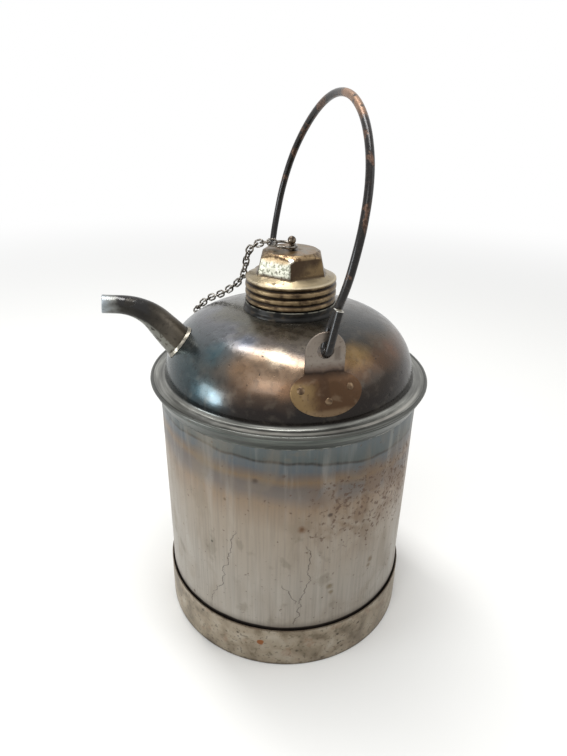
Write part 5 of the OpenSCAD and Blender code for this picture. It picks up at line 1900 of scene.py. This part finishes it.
@dataclass
class Bail:
    """Wire handle, bent by hand and hooked through both ears."""

    wire: float = 4.2
    ear_y: float = 65
    turn_r: float = 3.1
    hook: float = 20.5
    leg_y: float = 61.9
    leg: float = 8.255
    bend_r: float = 12
    half_w: float = 70
    hoop_z: float = 49.545
    flare: float = 17.648
    lean: float = 12
    pivot_z: float = 204.197

    def side(self) -> list[Vector]:
        """Path of one leg, from the hook's cut end to the hoop, in the bail's own plane."""
        foot = self.turn_r
        path = [Vector((0, self.ear_y + self.turn_r, foot + self.hook * k / 6)) for k in range(6, 0, -1)]
        for k in range(15):
            a = math.radians(-180 * k / 14)
            path.append(Vector((0, self.ear_y + self.turn_r * math.cos(a), foot + self.turn_r * math.sin(a))))
        path += [Vector((0, self.leg_y, foot + self.leg * k / 4)) for k in range(1, 5)]
        for k in range(1, 7):
            a = math.radians(180 - self.flare * k / 6)
            path.append(Vector((
                0, self.leg_y + self.bend_r + self.bend_r * math.cos(a),
                foot + self.leg + self.bend_r * math.sin(a),
            )))
        low = math.radians(-self.flare)
        start, end = path[-1], Vector((0, self.half_w * math.cos(low), self.hoop_z + self.half_w * math.sin(low)))
        return path + [start.lerp(end, k / 12) for k in range(1, 13)]

    def path(self) -> list[Vector]:
        """Whole path of the wire where it stands at rest."""
        right = self.side()
        hoop = []
        for k in range(1, 90):
            a = math.radians(-self.flare + (180 + 2 * self.flare) * k / 90)
            hoop.append(Vector((0, self.half_w * math.cos(a), self.hoop_z + self.half_w * math.sin(a))))
        left = [Vector((0, -p.y, p.z)) for p in reversed(right)]
        turn = Euler((0, math.radians(self.lean), 0)).to_matrix()
        path = []
        for place in [*right, *hoop, *left]:
            free = smooth(34, 60, place.z)
            p = place.copy()
            p.x += 0.7 * free * unevenness(place, 40, 4)
            p.y *= 1 - 0.007 * free * (0.5 + 0.5 * unevenness(place, 30, 8))
            p.z -= 0.5 * smooth(60, 110, place.z) * (0.5 + 0.5 * unevenness(place, 26, 2))
            path.append(turn @ p + Vector((0, 0, self.pivot_z)))
        return path

    def build(self, tree: Tree) -> None:
        """Builds and dresses the bail."""
        path = self.path()
        way = (path[0] - path[1]).normalized()
        material = WornPaint(cut_place=tuple(path[0]), cut_way=tuple(way)).material()
        piece = path_piece("handle", path)
        tree.grow(piece, Wire_radius=self.wire / 2 * MM, Sides=28, Material=material)
        piece.data.set_sharp_from_angle(angle=math.radians(50))
        dress(piece, material, Body.BAIL.value, "bail_wire", "bail")


@dataclass
class Stage:
    """Pale floor, white surroundings, soft lamps and the camera."""

    camera_place: tuple[float, float, float] = (-0.0883, -0.3078, 0.3166)
    camera_way: tuple[float, float, float] = (0.2391, 0.8657, -0.4398)
    roll: float = 1.12
    lens: float = 27.05
    floor_r: float = 3.0

    def camera(self) -> None:
        """Sets the camera where the photo was taken from."""
        way = Vector(self.camera_way).normalized()
        right = way.cross(Vector((0, 0, 1))).normalized()
        up = right.cross(way)
        k = math.radians(self.roll)
        right, up = right * math.cos(k) + up * math.sin(k), up * math.cos(k) - right * math.sin(k)
        data = bpy.data.cameras.new("camera")
        data.lens = self.lens
        data.clip_start, data.clip_end = 0.01, 20
        holder = bpy.data.objects.new("camera", data)
        axes = Matrix((right, up, -way)).transposed().to_4x4()
        holder.matrix_world = Matrix.Translation(Vector(self.camera_place)) @ axes
        bpy.context.scene.collection.objects.link(holder)
        bpy.context.scene.camera = holder

    def floor(self) -> None:
        """Makes the round pale floor, which fades into the white surroundings."""
        mesh = bmesh.new()
        bmesh.ops.create_circle(mesh, cap_ends=True, segments=96, radius=self.floor_r)
        data = bpy.data.meshes.new("floor")
        mesh.to_mesh(data)
        mesh.free()
        data.transform(Matrix.Translation((0, 0, -0.0001)))
        piece = bpy.data.objects.new("floor", data)
        bpy.context.scene.collection.objects.link(piece)
        p = Paint("pale_floor")
        matte = p.nodes.new("ShaderNodeBsdfDiffuse")
        matte.inputs["Color"].default_value = linear((232, 231, 228))
        white = p.nodes.new("ShaderNodeEmission")
        white.inputs["Color"].default_value = (1, 1, 1, 1)
        rays = p.nodes.new("ShaderNodeLightPath")
        seen = p.math("MAXIMUM", rays.outputs["Is Camera Ray"], rays.outputs["Is Glossy Ray"])
        seen = p.math("MAXIMUM", seen, rays.outputs["Is Transmission Ray"])
        far = p.math("MULTIPLY", p.step(p.radius(), 350, 1500), seen)
        blend = p.nodes.new("ShaderNodeMixShader")
        p.links.new(far, blend.inputs[0])
        p.links.new(matte.outputs[0], blend.inputs[1])
        p.links.new(white.outputs[0], blend.inputs[2])
        end = p.nodes.new("ShaderNodeOutputMaterial")
        p.links.new(blend.outputs[0], end.inputs[0])
        piece.data.materials.append(p.material)

    def surroundings(self) -> None:
        """Lights the scene softly from all sides and shows white behind it."""
        world = bpy.data.worlds.new("surroundings")
        bpy.context.scene.world = world
        world.use_nodes = True
        tree = world.node_tree
        tree.nodes.clear()
        rays = tree.nodes.new("ShaderNodeLightPath")
        shown = rays.outputs["Is Camera Ray"]
        for name in ("Is Glossy Ray", "Is Transmission Ray"):
            either = tree.nodes.new("ShaderNodeMath")
            either.operation = "MAXIMUM"
            tree.links.new(shown, either.inputs[0])
            tree.links.new(rays.outputs[name], either.inputs[1])
            shown = either.outputs[0]
        soft, white = tree.nodes.new("ShaderNodeBackground"), tree.nodes.new("ShaderNodeBackground")
        soft.inputs["Color"].default_value = (0.96, 0.98, 1, 1)
        soft.inputs["Strength"].default_value = 0.52
        white.inputs["Color"].default_value = (1, 1, 1, 1)
        white.inputs["Strength"].default_value = 1
        mix, end = tree.nodes.new("ShaderNodeMixShader"), tree.nodes.new("ShaderNodeOutputWorld")
        tree.links.new(shown, mix.inputs[0])
        tree.links.new(soft.outputs[0], mix.inputs[1])
        tree.links.new(white.outputs[0], mix.inputs[2])
        tree.links.new(mix.outputs[0], end.inputs[0])

    def lamp(
        self, name: str, place: Sequence[float], aim: Sequence[float], size: Point, power: float,
        tint: tuple[float, float, float] = (1, 1, 1),
    ) -> None:
        """Adds a rectangular area lamp.

        Args:
            name: Name of the lamp.
            place: Where it stands, in metres.
            aim: The point that it faces.
            size: Its two sides, in metres.
            power: Its power, in watts.
            tint: Its colour.
        """
        data = bpy.data.lights.new(name, "AREA")
        data.shape = "RECTANGLE"
        data.size, data.size_y = size
        data.energy = power
        data.color = tint
        holder = bpy.data.objects.new(name, data)
        holder.location = place
        holder.rotation_euler = (Vector(aim) - Vector(place)).to_track_quat("-Z", "Y").to_euler()
        bpy.context.scene.collection.objects.link(holder)

    def build(self) -> None:
        """Builds the stage."""
        self.camera()
        self.floor()
        self.surroundings()
        self.lamp("overhead", (-0.08, 0.18, 1.35), (0, 0, 0.2), (0.24, 1.1), 14)
        self.lamp("front", (-0.75, -0.95, 1.15), (0, 0, 0.15), (0.6, 0.6), 5)
        self.lamp("side", (1.1, -0.5, 0.9), (0, 0, 0.12), (0.8, 0.8), 2.5)
        self.lamp("left", (-1.3, -0.16, 0.22), (-0.05, -0.05, 0.176), (0.55, 0.45), 9, (0.9, 0.96, 1))
        bpy.context.scene.view_settings.view_transform = "Standard"


def main() -> None:
    """Builds the can piece by piece and sets the stage."""
    Stage().build()
    dome, spout = Dome(), Spout()
    CanBody().build()
    dome.build(spout)
    spout.build(dome)
    Neck().build(dome)
    ScrewCap().build()
    Chain().build(dome)
    Ears().build(dome)
    Bail().build(wire_tree())


if __name__ == "__main__":
    logging.basicConfig(level=logging.INFO, format="%(message)s")
    main()
